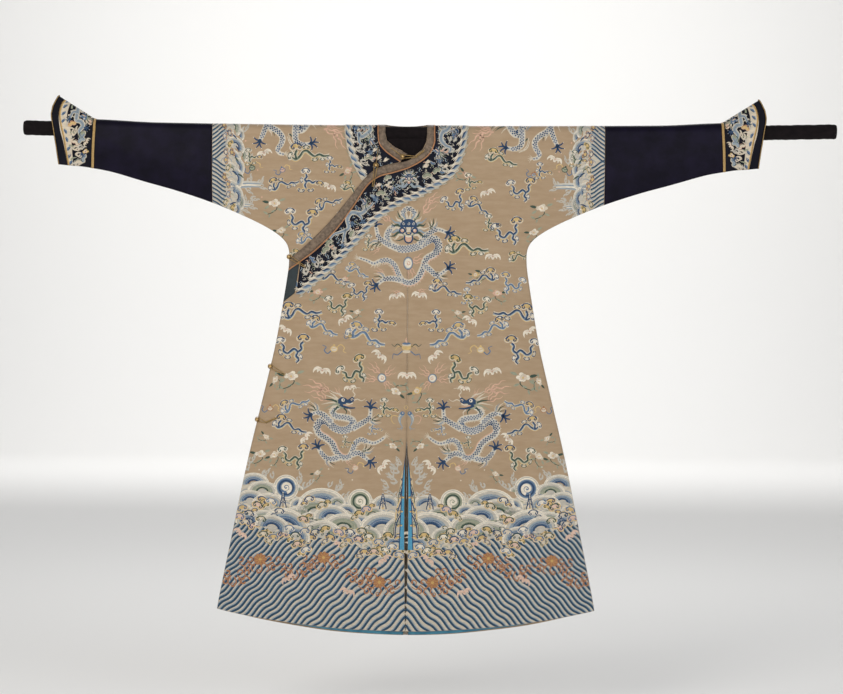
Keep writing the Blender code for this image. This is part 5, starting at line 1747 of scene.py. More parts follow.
def spray(pen, reach, wide):
    """Jet of water: a streaked trunk with curled fingers on both sides."""
    trunk = [(-2, 0), (reach * 0.5, 0.8), (reach, 0)]
    pen.ribbon("foam", trunk, (wide * 1.2, wide, wide * 0.5), 0, 4)
    for colour, shift in (("pale_blue", -0.34), ("white", -0.1), ("pale_blue", 0.12), ("scale_pale", 0.34)):
        pen.ribbon(colour, trunk, (wide * 0.24, wide * 0.22, wide * 0.1), 0.5, 4, shift=wide * shift)
    fingers = ((0.95, 0.1, 25), (0.95, -0.1, -60), (0.6, 0.4, 45), (0.5, -0.4, -80), (0.2, 0.5, 70),
               (0.15, -0.5, -95))
    for x, y, angle in fingers:
        hooks(pen.sub(reach * x, wide * y, 0.9, angle, 0.2), 3, 2.6)


def rock(pen):
    """Tiered rock that stands in the waves."""
    for y, wide, high, colour in ((5, 3.4, 9, "white"), (4, 5, 7, "cream"), (1, 7, 6, "cream")):
        pen.ribbon(colour, [(0, y - high), (0, y + high * 0.4)], (wide * 1.1, wide * 0.8, wide * 0.3))
    for reach, foot, head in ((2.9, -5.5, 0.5), (2.1, -2, 4), (1.3, 1, 8)):
        for hand in (-1, 1):
            edge = [(hand * reach, foot), (hand * reach * 0.85, (foot + head) / 2), (hand * 0.3, head)]
            pen.ribbon("dark_blue", edge, (1.0, 0.9, 0.6), 1, 2)
    pen.ribbon("yellow", [(0, -5.5), (0, 3)], (2.0, 1.4, 0.7), 1, 2)
    pen.ribbon("mid_blue", [(0, -4), (0, 6)], (0.9, 0.4), 2, 2)


def mountain(art):
    """Mountain at the middle, on both sides of the slit."""
    for mirror in (1, -1):
        pen = at(art, 406.4, 530, 1, 0, 5, mirror)
        pen.at[0] = 0
        height = np.array((-20, 10, 30, 50, 66, 74))
        tiers = ((0, 12, 30), (14, 10, 46), (30, 7.5, 60), (44, 5, 72))
        for k, (foot, reach, head) in enumerate(tiers):
            level = 3 - 0.6 * k
            side = [(-reach, foot - 6), (-reach * 0.92, foot + 5)]
            side += [(-reach * 0.55, (foot + head) * 0.5), (-0.8, head - 8)]
            pen.ribbon("cream", side, (3.4, 3.0, 2.4, 1.4), level)
            pen.ribbon("dark_blue", side, (1.1, 1.2, 1.2, 0.9), level + 0.5, shift=-0.9)
            pen.ribbon("yellow" if k % 2 else "dark_green", side, (0.9, 0.8, 0.6), level + 0.5, shift=0.7)
            pen.disc("dark_blue", -reach * 0.86, foot + 6.5, 1.3, level + 1, sides=8)
            pen.disc("pale_green", -reach * 0.86, foot + 6.5, 0.6, level + 1.5, sides=6)
        inner = np.stack([(-3.8, -3.2, -2.6, -2.0, -0.9, -0.5), height], axis=1)
        pen.ribbon("turquoise", inner, (5.6, 4.6, 4.0, 3.2, 1.4, 0.6), 4.5)
        outer = np.stack([(-6.8, -5.8, -4.8, -3.8, -2.0, -1.0), height], axis=1)
        pen.ribbon("dark_blue", outer, (0.9, 0.9, 0.6), 5)
        fingers = ((-13, 34, 1.0, 130), (-11, 48, 1.0, 120), (-9, 58, 0.9, 115), (-16, 24, 0.9, 140),
                   (-6, 66, 0.7, 105))
        for x, y, size, angle in fingers:
            hooks(pen.sub(x, y, size, angle, -1), 4)
        for x, y in ((-6.5, 4), (-8, -8), (-6, 18), (-4.6, 32)):
            ruyi(pen.sub(x, y, 0.55, 15, 4), "dark_blue", "yellow", "cream", False)


# Columns left of the middle at which the stripes start, and how they climb and follow each other
STRIPE_START = 189
STRIPE_FOOT = 610
STRIPE_PITCH = 6.1
STRIPE_WAVE = 20
HEM_ROW = 634


def stripe_lines():
    """Slanting wavy lines of the zone above the hem, in its own plane."""
    x = np.linspace(-196, 0, 99)
    run = x + STRIPE_START
    share = np.clip(run / STRIPE_START, 0, 1)
    climb = 0.92 * run + 0.46 * run**2 / (2 * STRIPE_START)
    top = np.interp(x, *np.array(BOUNDARY).T)
    for k in range(-20, 62):
        down = STRIPE_FOOT - climb + k * STRIPE_PITCH * (1 + 0.42 * share)
        down = down + 1.5 * np.sin(2 * math.pi * (x - 3.2 * k) / STRIPE_WAVE)
        inside = (down > top - 6) & (down < HEM_ROW)
        if inside.sum() > 2:
            yield np.stack([x, -down], axis=1)[inside]


def ripples(pen, left, right, top, bottom, edge, crest=((0, 0), (1, 0))):
    """Small thin waves that fill the ground between the larger ones."""
    turn = np.radians(np.linspace(10, 170, 7))
    for row, y in enumerate(np.arange(top, bottom, 6.5)):
        for x in np.arange(left + 5 * (row % 2), right, 10):
            if not np.interp(x, *np.array(crest).T) + 9 < y < np.interp(x, *np.array(edge).T) + 3:
                continue
            for r, colour in ((5.6, "pale_blue"), (3.7, "cream"), (1.9, "pale_green")):
                wave = np.stack([x + r * np.cos(turn), -y + r * np.sin(turn)], axis=1)
                pen.ribbon(colour, wave, 0.8, 0.3, 1)


# Top of the waves, columns and rows from the middle of the view
CREST = (
    (-200, 478), (-178, 476), (-160, 486), (-146, 484), (-128, 484), (-108, 498), (-86, 490), (-66, 500),
    (-48, 491), (-32, 500), (-16, 500), (0, 500),
)
HEM_HOOKS = (
    (299, 481, 0.9, 60, 3), (304, 487, 1.0, 20, 4), (265, 476, 0.8, 75, 2), (272, 477, 0.8, 50, 2),
    (338, 489, 0.9, 50, 3), (247, 469, 1.0, 60, 3), (250, 462, 0.9, 30, 3), (392, 476, 1.0, 75, 4),
    (387, 487, 0.9, 100, 3), (329, 486, 0.8, 20, 2), (396, 468, 0.9, 60, 3),
)
FOAM_COLOURS = (("yellow", "cream"), ("cream", "yellow"), ("white", "yellow"), ("blush", "yellow"))
DROPS = ((271, 465.5), (328.5, 469), (259, 470), (352, 480), (347, 470))
LOTUSES = (
    (259.7, 559.4, 1, 0, 1), (323.3, 557.5, 1, 0, 1), (379, 582.4, 1, 0, 1), (234, 573, 1, 0, 0),
    (296, 566, 1, 0, 0), (361, 571, 1, 0, 0),
)
HEM_BATS = (
    (240, 534, 1, -40), (336, 543, 1, -40), (384.5, 560, 1, 40), (288, 579, 1, 30), (347, 592, 1, -20),
)


def hem_ground(art, mirror):
    """Pale ground from the top of the waves to below the hem."""
    line = np.array(CREST, float)
    count = len(line)
    outline = np.vstack([line, np.stack([line[:, 0], np.full(count, 640.0)], axis=1)])
    height = TOP_HEIGHT - (outline[:, 1] - TOP_ROW) * PIXEL
    outline = np.stack([outline[:, 0] * PIXEL * mirror, height], axis=1)
    k = np.arange(count - 1)
    upper, lower = np.stack([k, k + 1, k + 1 + count], 1), np.stack([k, k + 1 + count, k + count], 1)
    art.add("stripe_cream", outline, np.vstack([upper, lower]), 0)


def hem_heads(art, mirror):
    """Foam: cloud heads in pairs along the foot of the waves."""
    for k, (px, py) in enumerate(HEAD_SPOTS):
        line = ("dark_blue", "dark_green", "mid_blue")[k % 3]
        fill, rim = FOAM_COLOURS[(k * 7) % 4]
        ruyi(at(art, px, py, 1.12, (k * 53) % 50 - 25, 6 + k % 3, mirror), line, fill, rim)
        aside = (5.5, -3.5) if k % 2 else (-5, 4)
        child = at(art, px + aside[0], py + aside[1], 0.78, (k * 71) % 80 - 40, 5.5, mirror)
        ruyi(child, "dark_green" if k % 3 else "dark_blue", rim, fill)


def hem_zone(art):
    for mirror in (1, -1):
        hem_ground(art, mirror)
        pen = middle_pen(art, mirror)
        ripples(pen, -190, -4, 496, 556, BOUNDARY, CREST)
        for line in stripe_lines():
            pen.ribbon("pale_blue", line, 1.4, 0.8, 1, shift=1.5)
            pen.ribbon("stripe_blue", line, 2.2, 1.0, 1)
        for px, py, r, angle, row, tint in ARCHES:
            place = at(art, px, py, 1, angle, 1.5 + row * 1.2 + px % 3 * 0.3, mirror)
            arch(place, r, BLUES if tint == "blue" else GREENS)
            if row == 0:
                hooks(place.sub(r * 0.75, r * 0.75, 0.9, 10, -0.5), 3, 2.8)
        spiral(at(art, 285.8, 487.5, 1, 0, 1, mirror), 13.0, ("dark_blue", "mid_blue"))
        spiral(at(art, 359.7, 501.5, 1, 0, 1, mirror), 12.8, ("dark_green", "pale_green"))
        scatter(hooks, art, HEM_HOOKS, 0.5, mirror)
        for px, py in DROPS:
            at(art, px, py, 1, 0, 0, mirror).disc("cream", 0, 0, 0.8, 0, sides=6)
        scatter(rock, art, ((282.7, 502, 1.15, 0), (382.7, 503, 1.15, 0)), 5, mirror)
        hem_heads(art, mirror)
        scatter(lotus, art, LOTUSES, 2, mirror)
        scatter(bat, art, HEM_BATS, 2, mirror, "blush")


def lotus(pen, big):
    """Rust lotus with tendrils."""
    if big:
        for k in range(9):
            c, s = polar(40 * k)
            pen.disc("rust", 4.8 * c, 4.4 * s, 1.9, 1, sides=6)
            pen.ribbon("gold", [(2.0 * c, 2.0 * s), (5.6 * c, 5.2 * s)], 0.35, 2, 1)
        pen.disc("rust", 0, 0, 4.2, 1, sides=10)
        pen.disc("gold", 0, 0, 1.6, 2, sides=8)
    reach = 1.0 if big else 0.7
    for hand in (-1, 1):
        stem = [(hand * 3, -3), (hand * 8, -6), (hand * 12, -3), (hand * 16, -7), (hand * 21 * reach, -4)]
        pen.ribbon("rust", stem, (1.2, 1.3, 0.9))
        for x, y, start, turn in ((9.5, 0.4, 200, -1), (13.5, -9, 60, 1), (19, 0.2, 240, -1)):
            tendril = curl(hand * x * reach, y, 3.4, start, 0.85, turn * hand, 10, 0.3)
            pen.ribbon("rust", tendril, (0.9, 1.4, 1.8), 0, 1)
        branch = [(hand * 7 * reach, -5), (hand * 9 * reach, -10), (hand * 6 * reach, -12.5)]
        pen.ribbon("rust", branch, (1.0, 1.2, 0.9), 0, 2)
        leaf(pen, "rust", hand * 11 * reach, -5, -60 if hand > 0 else 240, 0.9)
        leaf(pen, "rust", hand * 6 * reach, -5, -80, 0.8)
    pen.ribbon("rust", [(0, -4), (2, -9), (0, -13), (-3, -14)], (1.3, 1.1), 0)
    pen.ribbon("rust", curl(-2, -12, 2.2, 0, 0.9, 1, 9), (0.8, 1.1), 0, 1)


# Beside the sleeves: waves (column, row, radius, angle, tint), bars (angle), foam and sprays
SLEEVE_ARCHES = (
    (233, 127, 9, -60, "green"), (238, 134, 7, -55, "blue"), (236, 146, 9, -50, "blue"),
    (241, 154, 8, -65, "green"), (234, 158, 8, -60, "blue"), (238, 167, 8, -75, "blue"),
    (233, 114, 8, -60, "blue"), (231, 139, 7, -60, "green"), (236, 178, 9, -75, "blue"),
    (232, 170, 7, -60, "green"), (236, 196, 9, -85, "blue"), (239, 202, 7, -95, "green"),
    (232, 188, 7, -70, "blue"), (236, 209, 6, -100, "blue"),
)
SLEEVE_BARS = (
    (231, 121, -50), (235, 137, -45), (229, 133, -50), (237, 160, -55), (235, 173, -40), (241, 176, -35),
    (233, 203, 20), (238, 149, -60),
)
SLEEVE_HEADS = (
    (228.5, 114), (225, 125), (226, 136), (231, 144), (227, 152), (227, 160), (229, 168), (225.5, 177),
    (229, 194), (233, 207), (231, 133), (229, 184), (226, 202), (233, 152),
)
SLEEVE_HOOKS = (
    (244, 131, 0.9, 20, 3), (246, 156, 0.8, 50, 3), (241, 143, 0.7, 60, 3), (249, 161, 0.8, 30, 3),
    (252, 198, 0.8, -40, 3),
)
# Ground of the stripes and of the waves beside a sleeve
STRIPE_COLUMN = ((210.5, 108), (227, 108), (227, 211), (210.5, 211))
WAVE_COLUMN = ((226.5, 108), (234, 108), (235, 150), (240, 170), (240, 184), (234, 214), (226.5, 211))


def sleeve_ends(art):
    """Stripes, waves and jets of water beside the sleeves."""
    for mirror in (1, -1):
        for y in np.arange(112, 215, 4.2):
            rise = (-1, 2, 6, 8) if y > 157 else (7, 3.2, -1.2, -4)
            left = np.stack([(211, 217, 222, 226), y + np.array(rise)], axis=1)
            art.ribbon("stripe_blue", spline(spots(left), 3) * (mirror, 1), 1.5 * PIXEL, 0.5)
            art.ribbon("pale_blue", spline(spots(left + (0, 1.3)), 3) * (mirror, 1), 0.6 * PIXEL, 0.4)
        art.fan("stripe_cream", spots(STRIPE_COLUMN) * (mirror, 1), 0)
        ripples(middle_pen(art, mirror), -182, -172, 112, 214, ((-200, 300), (0, 300)))
        art.fan("stripe_cream", spots(WAVE_COLUMN) * (mirror, 1), 0)
        for px, py, r, angle, tint in SLEEVE_ARCHES:
            arch(at(art, px, py, 1, angle, 1 + px % 3 * 0.5, mirror), r, BLUES if tint == "blue" else GREENS,
                 85)
        for px, py, angle in SLEEVE_BARS:
            bar = at(art, px, py, 1, angle, 4, mirror)
            colour = "dark_blue" if py % 2 else "dark_green"
            bar.ribbon(colour, [(-3.2, 0), (0, 0.5), (3.2, 0)], (1.0, 1.7, 0.6), 0, 2)
        for k, (px, py) in enumerate(SLEEVE_HEADS):
            line = ("dark_green", "dark_blue", "mid_blue")[k % 3]
            fill, rim = "yellow" if k % 2 else "cream", "rust" if k % 3 else "yellow"
            ruyi(at(art, px, py, 0.72, 60 + (k * 41) % 60, 5, mirror), line, fill, rim)
        spray(at(art, 233, 185.5, 1, 2, 1, mirror), 28, 7.0)
        spray(at(art, 237, 206, 1, 6, 0.6, mirror), 13, 5.0)
        scatter(hooks, art, SLEEVE_HOOKS, 0.5, mirror, 2.8)
        emblem(at(art, 252.5, 168, 1.1, 20, 1, mirror), "pale_green", "dark_green")
        for px, py in ((239, 143), (258, 170), (246, 141), (262, 197)):
            at(art, px, py, 1, 0, 1, mirror).disc("peach", 0, 0, 0.9, 0, sides=6)


def hem_art():
    art = Art()
    hem_zone(art)
    mountain(art)
    return art


def robe_art():
    art = Art()
    sleeve_ends(art)
    small_motifs(art)
    middle_emblems(art)
    for mirror in (1, -1):
        shoulder_dragon(art, mirror)
        side_dragon(art, mirror)
    centre_dragon(art)
    return art


ROBE_ART = robe_art()
HEM_ART = hem_art()
lay("motifs_front_outer", ROBE_ART, -1, WALL, outer_layer, clip_outer, "kesi")
lay("motifs_front_inner", ROBE_ART, -1, WALL, under_layer, clip_inner, "kesi")
lay("motifs_back", ROBE_ART, 1, WALL, one_layer, clip_back, "kesi")
lay("motifs_hem_front", HEM_ART, -1, WALL, outer_layer, clip_outer, "kesi")
lay("motifs_hem_back", HEM_ART, 1, WALL, one_layer, clip_back, "kesi")


# Motifs of the bands, the rope border and the cuffs
def band_dragon(art, points, mirror=1, widths=(2.4, 3.2, 3.4, 3.0, 2.2, 1.4)):
    line = spline(spots(points), 6) * (mirror, 1)
    width = drawn_out(widths, len(line)) * PIXEL
    art.ribbon("cream", line, width * 1.4, 2)
    art.ribbon("pale_blue", line, width, 3)
    art.ribbon("slate", line, 0.5 * PIXEL, 3.5)


def band_field(art, corners, count, start):
    """Fills a strip of night ground with small clouds, leaves and dots; corners are its two sides."""
    near, far = (spline(spots(side), 12) for side in corners)
    share = np.linspace(0, 1, len(near))
    kinds = ("pale_green", "cream", "pale_blue", "foam", "mid_blue", "peach", "foam", "dark_blue",
             "pale_blue")
    for k in range(count):
        u = (k + 0.5) / count
        v = 0.10 + 0.80 * ((k * 0.618 + start) % 1)
        place = [blend(np.interp(u, share, near[:, i]), np.interp(u, share, far[:, i]), v) for i in (0, 1)]
        pen = Pen(art, place, 0.86, (k * 97 + 40 * start) % 360, 1, 0)
        colour = kinds[k * 5 % 9]
        if k % 7 == 0:
            ruyi(pen.sub(0, 0, 0.6), "dark_green" if k % 2 else "slate", colour, "foam", False)
        elif k % 3 == 1:
            pen.ribbon(colour, [(-2.8, 0), (-0.9, 1.2), (0.8, -0.9), (2.8, 0.4)], (0.3, 0.9, 0.9, 0.3), 0.5,
                       2)
            pen.disc("cream", 1.2, 2.0, 0.5, 0.5, sides=6)
            pen.disc("foam", -1.6, -1.6, 0.4, 0.5, sides=6)
        elif k % 3 == 2:
            leaf(pen, colour, -1.8, 0, 20, 0.9)
            leaf(pen, "foam" if k % 2 else "pale_green", 0.6, 0.4, 140, 0.65)
            pen.disc("white", -1.4, 1.8, 0.45, 0.5, sides=6)
        else:
            pen.ribbon(colour, curl(0, 0, 1.9, 40, 0.8, 1, 9, 0.3), (0.9, 0.6, 0.3), 0.5, 1)
            pen.disc("white", 1.8, -1.6, 0.45, 0.5, sides=6)
            pen.disc("foam", -2.0, 1.2, 0.4, 0.5, sides=6)


def from_front(points):
    """Places on the robe as pixels of the front view."""
    x, z = np.array(points).T / PIXEL
    return np.stack([x + MIDDLE_COLUMN - (8.4 - z) * LEAN, 133.4 - z + TILT * x], axis=1)


def raised(line):
    """A line carried on up over the rod."""
    return np.vstack([line[:1] + (0, 0.0215), line[:1] + (0, 0.012), line])


def side_of(table, way, rows):
    table = np.array(table)[:rows]
    return from_front(raised(blend(table[:, 4:6], table[:, 2:4], way)))


def band_art(table, rows, count):
    art = Art()
    corners = [side_of(table, 0.17, rows), side_of(table, 0.92, rows)]
    band_field(art, corners, count, 0.37)
    band_field(art, corners, count, 0.11)
    return art


def outer_band_art():
    art = band_art(CLOSING, 11, 104)
    low = [(365, 204), (366.4, 209), (361, 213.4), (352, 212.6), (347.6, 219), (348.6, 228), (341, 232),
           (334, 234.4),
           (330, 239)]
    band_dragon(art, low)
    side_head(at(art, 365.2, 202.2, 0.6, 120, 4), "slate", "foam")
    feet = ((374.4, 200, 0.6, 50), (362.4, 221, 0.6, -50), (352.8, 222.4, 0.6, -110), (342.8, 244, 0.6, -70))
    scatter(claw, art, feet, 3, 1, 1, "mid_blue")
    for points in ([(364, 210), (370, 207), (373.4, 202.4)], [(357, 213.4), (361, 217), (362, 219.6)],
                   [(346, 228.6), (344, 237), (343, 242)]):
        band_dragon(art, points, 1, (2.6, 1.6))
    band_dragon(art, [(452, 124), (448, 130), (442.6, 133), (441.4, 140), (446, 145.6), (451, 148),
                      (449.6, 153)])
    side_head(at(art, 438.4, 152, 0.62, 140, 4), "slate", "foam")
    scatter(claw, art, ((453, 135.6, 0.55, 10), (440, 160, 0.5, -100)), 3, 1, 1, "mid_blue")
    # Dragon under the neck, seen from the front
    pen = at(art, 409.2, 178.8, 0.56, 0, 3)
    front_head(pen)
    for hand in (-1, 1):
        arm = [(hand * 3, -9), (hand * 9, -14.5), (hand * 17, -13), (hand * 24, -16)]
        pen.ribbon("pale_blue", arm, (4.0, 4.5, 3.5, 1.8), -1)
        claw(pen.sub(hand * 25, -17, 0.9, -90 + hand * 60, -1), 1, "mid_blue")
    heads = ((381, 193.6, 0.85, 10), (427.6, 176, 0.9, 10), (352, 234, 0.7, 70), (326, 250, 0.9, 40),
             (437, 171, 0.8, 30),
             (388, 178, 0.7, 20), (329, 243, 0.8, 45))
    scatter(ruyi, art, heads, 3, 1, "dark_green", "pale_green", "cream", False)
    bat(at(art, 389, 187, 0.6, -25, 3), "cream")
    blooms = ((426, 166, 0.6, 20), (428, 162, 0.5, 20), (379, 185, 0.5, 20), (322, 262, 0.5, 20),
              (336, 256, 0.5, 20),
              (420, 196, 0.5, 20), (446, 166, 0.5, 20))
    scatter(flower, art, blooms, 3, 1, "cream", "peach", 7, False)
    foam = ((306, 273, 1.0, 50), (311, 279, 0.9, 20), (317, 266, 0.8, 60), (344, 244, 0.8, 60),
            (352, 238, 0.8, 50),
            (334, 255, 0.8, 60), (436, 184, 0.9, 100), (447, 170, 0.9, 120), (453, 150, 0.9, 140))
    scatter(hooks, art, foam, 2, 1, 3)
    return art


def inner_band_art():
    art = band_art(INNER_CLOSING, 4, 34)
    band_dragon(art, [(369, 124), (371, 130), (367, 134), (362, 137), (359, 133), (359.6, 142), (363, 144.6)])
    side_head(at(art, 371, 141, 0.62, -60, 4), "slate", "foam")
    scatter(claw, art, ((357, 129, 0.55, 150), (370, 151, 0.5, -80)), 3, 1, 1, "mid_blue")
    scatter(hooks, art, ((351, 138, 0.8, -60), (357, 149, 0.8, -50), (362, 161, 0.8, -60)), 2, 1, 3)
    blooms = ((368, 156, 0.5, 20), (375, 150, 0.5, 20), (379, 158, 0.5, 20), (386, 160, 0.5, 20))
    scatter(flower, art, blooms, 3, 1, "cream", "yellow", 6, False)
    ruyi(at(art, 369, 158, 0.8, 0, 3), "dark_green", "pale_green", "cream", False)
    return art


# Length of rope from one twist to the next, and a short step along it
TWIST_PITCH = 0.0235
STEP_ON = 0.002


def lenses(rope, turn):
    """Art of the border's slanting twists, with rays that reach past its edge."""
    art = Art()
    run = run_along(rope)
    hand = np.sign(turn)
    for k, s in enumerate(np.arange(STEP_ON, run[-1] - 2 * STEP_ON, TWIST_PITCH)):
        middle, ahead = (np.array([np.interp(at_s, run,
                                             rope[:, i]) for i in (0, 1)]) for at_s in (s, s + STEP_ON))
        pen = Pen(art, middle, 1.12, heading(ahead - middle) + turn, 1, 0)
        pen.ribbon("pale_blue", [(-4.6, 0.9), (-1.8, 0.4), (1.6, 0.9), (4.6, 0.4)], (0.3, 1.6, 1.4, 0.3), 0,
                   3)
        colour = "dark_blue" if k % 4 else "mid_blue"
        pen.ribbon(colour, [(-3.9, -0.1), (-1.2, -0.8), (1.6, -0.3), (4.0, -0.6)], (0.3, 1.7, 1.4, 0.3), 1, 3)
        pen.ribbon("white", [(-4.4, 2.6 * hand), (0, 3.1 * hand), (4.2, 2.5 * hand)], (0.4, 1.3, 0.3), 0, 3)
        pen.ribbon("pale_green", [(-3.6, -3.3 * hand), (0, -3.5 * hand), (3.4, -3.1 * hand)], (0.2, 0.5, 0.2),
                   0, 3)
        for x, y in ((-1.2, 3.2), (1.4, -3.2)):
            pen.ribbon("stripe_cream", [(x, y), (x + 1.6, y * 1.25), (x + 3.6, y * 1.3)], (1.6, 1.0, 0.2), 0,
                       2)
    return art


def clip_top(x, z):
    top = rod_axis(x) + cap_height(x) - CREST_ROOM
    return x, np.minimum(z, top), z < top


def clip_under(x, z):
    x, z, inside = clip_top(x, z)
    low = closing_z(x) + 0.002
    return x, np.maximum(z, low), inside & (z > low)


def trim_motifs():
    laid = WALL + LAID_ON
    for tail, table, layer, clip, art, turn in (
        ("outer", CLOSING, outer_layer, clip_top, outer_band_art(), -26),
        ("inner", INNER_CLOSING, under_layer, clip_under, inner_band_art(), 22),
    ):
        lay(f"motifs_band_{tail}", art, -1, laid + BAND_WALL, layer, clip, "band_silk", TRIM_FACET)
        rope = lenses(raised(lines_of(table, 12)[3]), turn)
        lay(f"motifs_rope_{tail}", rope, -1, laid + ROPE_WALL, layer, clip, "rope_border", TRIM_FACET)
    route = back_route()
    rope = lenses(route, 24)
    lay("motifs_rope_back", rope, 1, laid + ROPE_WALL, one_layer, clip_top, "rope_border", TRIM_FACET)
    art = Art()
    foot = route[8:-8:8] + (0, 0.016)
    neck = np.stack([foot[:, 0], np.full(len(foot), 0.008)], axis=1)
    band_field(art, [from_front(neck), from_front(foot)], 90, 0.5)
    lay("motifs_band_back", art, 1, laid + BAND_WALL, one_layer, clip_top, "band_silk", TRIM_FACET)


# Outer edge of the cuff's pattern and its stem, in pixels of the front view
CUFF_EDGE = (
    (66.8, 96), (64.6, 100), (62.2, 104), (60.2, 113.7), (61.6, 125.2), (64.2, 136.7), (66.2, 151),
    (67.9, 164), (68.3, 168),
)
CUFF_STEM = (
    (71.5, 96), (69.7, 101), (68, 108), (66.4, 119.4), (69.7, 133.8), (70.8, 142.4), (71.1, 151),
    (71.6, 162.5), (72, 168),
)
CUFF_BARS = (
    (67.4, 101, 35), (65.2, 106.3, 45), (64, 113.5, 50), (63.7, 121, 55), (65.9, 131.5, -55),
    (67.2, 139.6, -65), (68.8, 148.3, 55), (69.2, 155.6, 60), (70.3, 162, 60),
)
CUFF_DRAGON = (
    (74, 100), (77, 106), (77.4, 113), (76.8, 120), (81, 121.6), (83.4, 126), (80, 131), (82, 137),
    (85, 134),
)
CUFF_CLAWS = ((70.4, 119.4, 0.55, 190), (85.4, 127.8, 0.55, -20), (82, 153, 0.55, -90))
CUFF_HEADS = (
    (82.6, 135.6, 0.95, 60, "dark_green", "pale_green", "cream"),
    (81.8, 140.6, 0.8, 30, "mid_blue", "pale_blue", "cream"),
    (75.6, 142.5, 0.7, -30, "dark_green", "cream", "peach"),
    (83.8, 158, 0.8, 70, "dark_blue", "pale_blue", "cream"),
    (78, 161.5, 0.8, 0, "dark_green", "cream", "foam"),
    (89.6, 121.7, 0.7, -60, "dark_green", "peach", "cream"),
    (72.4, 124.2, 0.8, 20, "rust", "yellow", "peach"), (79.5, 104, 0.8, 40, "mid_blue", "foam", "cream"),
    (84, 110, 0.8, 20, "dark_green", "foam", "cream"),
    (90, 115.2, 0.7, -30, "mid_blue", "pale_blue", "white"),
)
CUFF_HOOKS = (
    (74, 134, 0.9, 30), (74, 148, 0.9, -40), (77, 154, 0.9, -50), (76, 164, 1.0, 10), (92, 116.5, 0.8, -20),
    (79, 147, 0.8, -30),
)


def cuff_art():
    art = Art()
    for mirror in (1, -1):
        edge, stem = (spline(spots(line), 4) * (mirror, 1) for line in (CUFF_EDGE, CUFF_STEM))
        art.ribbon("cream", (edge + stem) / 2, np.abs(stem - edge)[:, 0] + 0.0055, 0)
        art.ribbon("gold", edge, 1.7 * PIXEL, 3)
        art.ribbon("night", edge, 0.35 * PIXEL, 3.5, -0.5 * PIXEL * mirror)
        for px, py, angle in CUFF_BARS:
            pen = at(art, px, py, 1, angle, 1, mirror)
            pen.ribbon("mid_blue", [(-2.9, 0.3), (0, 0.5), (2.9, -0.2)], (0.4, 2.3, 0.4))
            pen.ribbon("dark_blue", [(-2.4, -0.5), (0, -0.5), (2.4, -0.9)], (0.3, 1.1, 0.3), 1)
        for k in range(15):
            py = 103 + 4.3 * k
            px = 71 + 1.4 * math.sin(k) - (1.5 if 112 < py < 128 else 0)
            rays = at(art, px, py, 0.95, 20 + 50 * math.sin(1.7 * k), 1, mirror)
            colour = ("cream", "pale_green", "foam")[k % 3]
            rays.ribbon(colour, [(-1.5, 0), (1.5, 1.2), (5.5, 0.8)], (1.8, 1.5, 0.4), 0, 2)
        band_dragon(art, CUFF_DRAGON, mirror, (2.2, 3.2, 3.4, 3.4, 2.8, 2.0))
        band_dragon(art, [(77, 112), (73, 112.5), (70.5, 118)], mirror, (2.4, 1.8))
        side_head(at(art, 85, 117, 0.62, 150, 4, mirror), "mid_blue")
        scatter(claw, art, CUFF_CLAWS, 3, mirror)
        scatter(ruyi, art, CUFF_HEADS, 2, mirror, False)
        bat(at(art, 87.2, 142, 0.62, 55, 2, mirror), "cream")
        flower(at(art, 85.6, 151, 0.62, 0, 2, mirror), "yellow", "rust", 6, False)
        for row in CUFF_HOOKS:
            scatter(hooks, art, [row], 1, mirror, 3, 2.4, "cream" if row[2] > 0.85 else "foam")
    return art


trim_motifs()
CUFF_ART = cuff_art()
for side, face in ((-1, "front"), (1, "back")):
    lay(f"motifs_cuffs_{face}", CUFF_ART, side, WALL, one_layer, clip_cuff, "cuff_silk", 0.006)


# Floor, lights and camera
def stage():
    """Pale floor that curves up behind the robe."""
    front, back, level, top, half = -14.0, 17.0, -1.62, 9.0, 18
    bend = 3.0
    line = [(front, level), (back - bend, level)]
    for turn in np.linspace(0, math.pi / 2, 14)[1:]:
        line.append((back - bend + bend * math.sin(turn), level + bend - bend * math.cos(turn)))
    line.append((back, top))
    points = [(x, y, z) for y, z in line for x in (-half, half)]
    faces = [[2 * k, 2 * k + 1, 2 * k + 3, 2 * k + 2] for k in range(len(line) - 1)]
    mesh = bpy.data.meshes.new("floor")
    mesh.from_pydata(points, [], faces)
    mesh.shade_smooth()
    mesh.materials.append(plain("floor_paper", (0.86, 0.85, 0.83), 0.9)[0])
    floor = bpy.data.objects.new("floor", mesh)
    bpy.context.scene.collection.objects.link(floor)


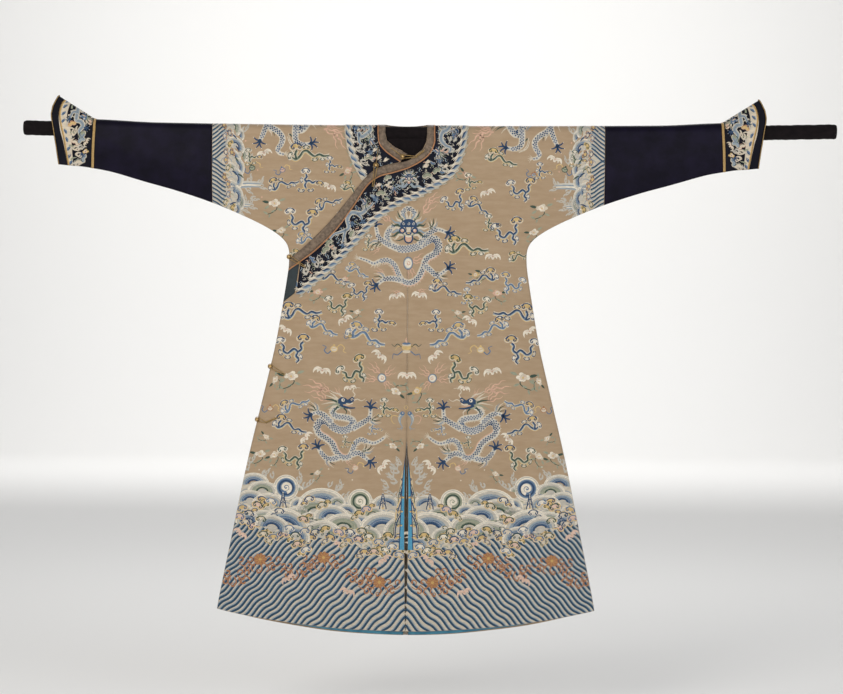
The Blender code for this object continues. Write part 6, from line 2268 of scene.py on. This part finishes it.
def look(place, aim, roll=0.0):
    """Euler angles that point -Z from place to aim."""
    turn = (Vector(aim) - Vector(place)).to_track_quat("-Z", "Y")
    return (turn.to_matrix() @ Matrix.Rotation(roll, 3, "Z")).to_euler()


def light(name, place, aim, size, power, colour=(1, 1, 1)):
    lamp = bpy.data.lights.new(name, "AREA")
    lamp.shape = "RECTANGLE"
    lamp.size, lamp.size_y = size
    lamp.energy = power
    lamp.color = colour
    made = bpy.data.objects.new(name, lamp)
    bpy.context.scene.collection.objects.link(made)
    made.location = place
    made.rotation_euler = look(place, aim)


stage()
light("key", (-2.6, -3.7, 1.5), (0, 0, -0.6), (2.4, 2.4), 108, (1, 0.97, 0.93))
light("fill", (3.2, -3.4, 0.2), (0, 0, -0.7), (2.6, 2.6), 59, (0.95, 0.97, 1))
light("front", (0.0, -5.4, -0.3), (0, 0, -0.6), (3.0, 3.0), 46)
light("back_wash", (0.4, 3.4, 2.4), (0, 0, -0.7), (3.0, 1.5), 60)
light("wall_wash", (0, 10.5, 4.5), (0, 17, 1.0), (10.0, 2.0), 420)
light("floor_wash", (0, 8.0, 5.0), (0, 8.2, -1.6), (10.0, 8.0), 270)
world = bpy.data.worlds.new("room")
bpy.context.scene.world = world
world.use_nodes = True
room = world.node_tree.nodes["Background"]
room.inputs["Color"].default_value = (0.9, 0.92, 0.95, 1)
room.inputs["Strength"].default_value = 0.29

# Camera: its distance, the view's middle and width in pixels, the face in front of the rod, the view's roll
DISTANCE = 6.0
CENTRE = spot(421.5, 347)
VIEW_WIDTH = 843
SENSOR_WIDTH = 36
FACE = 0.02
ROLL = math.radians(0.36)
camera = bpy.data.cameras.new("camera")
camera.lens = SENSOR_WIDTH * (DISTANCE - FACE) / (VIEW_WIDTH * PIXEL)
eye = bpy.data.objects.new("camera", camera)
bpy.context.scene.collection.objects.link(eye)
eye.location = (CENTRE[0], -DISTANCE, CENTRE[1])
eye.rotation_euler = look(eye.location, (CENTRE[0], 0, CENTRE[1]), ROLL)
bpy.context.scene.camera = eye
bpy.context.scene.view_settings.view_transform = "Standard"
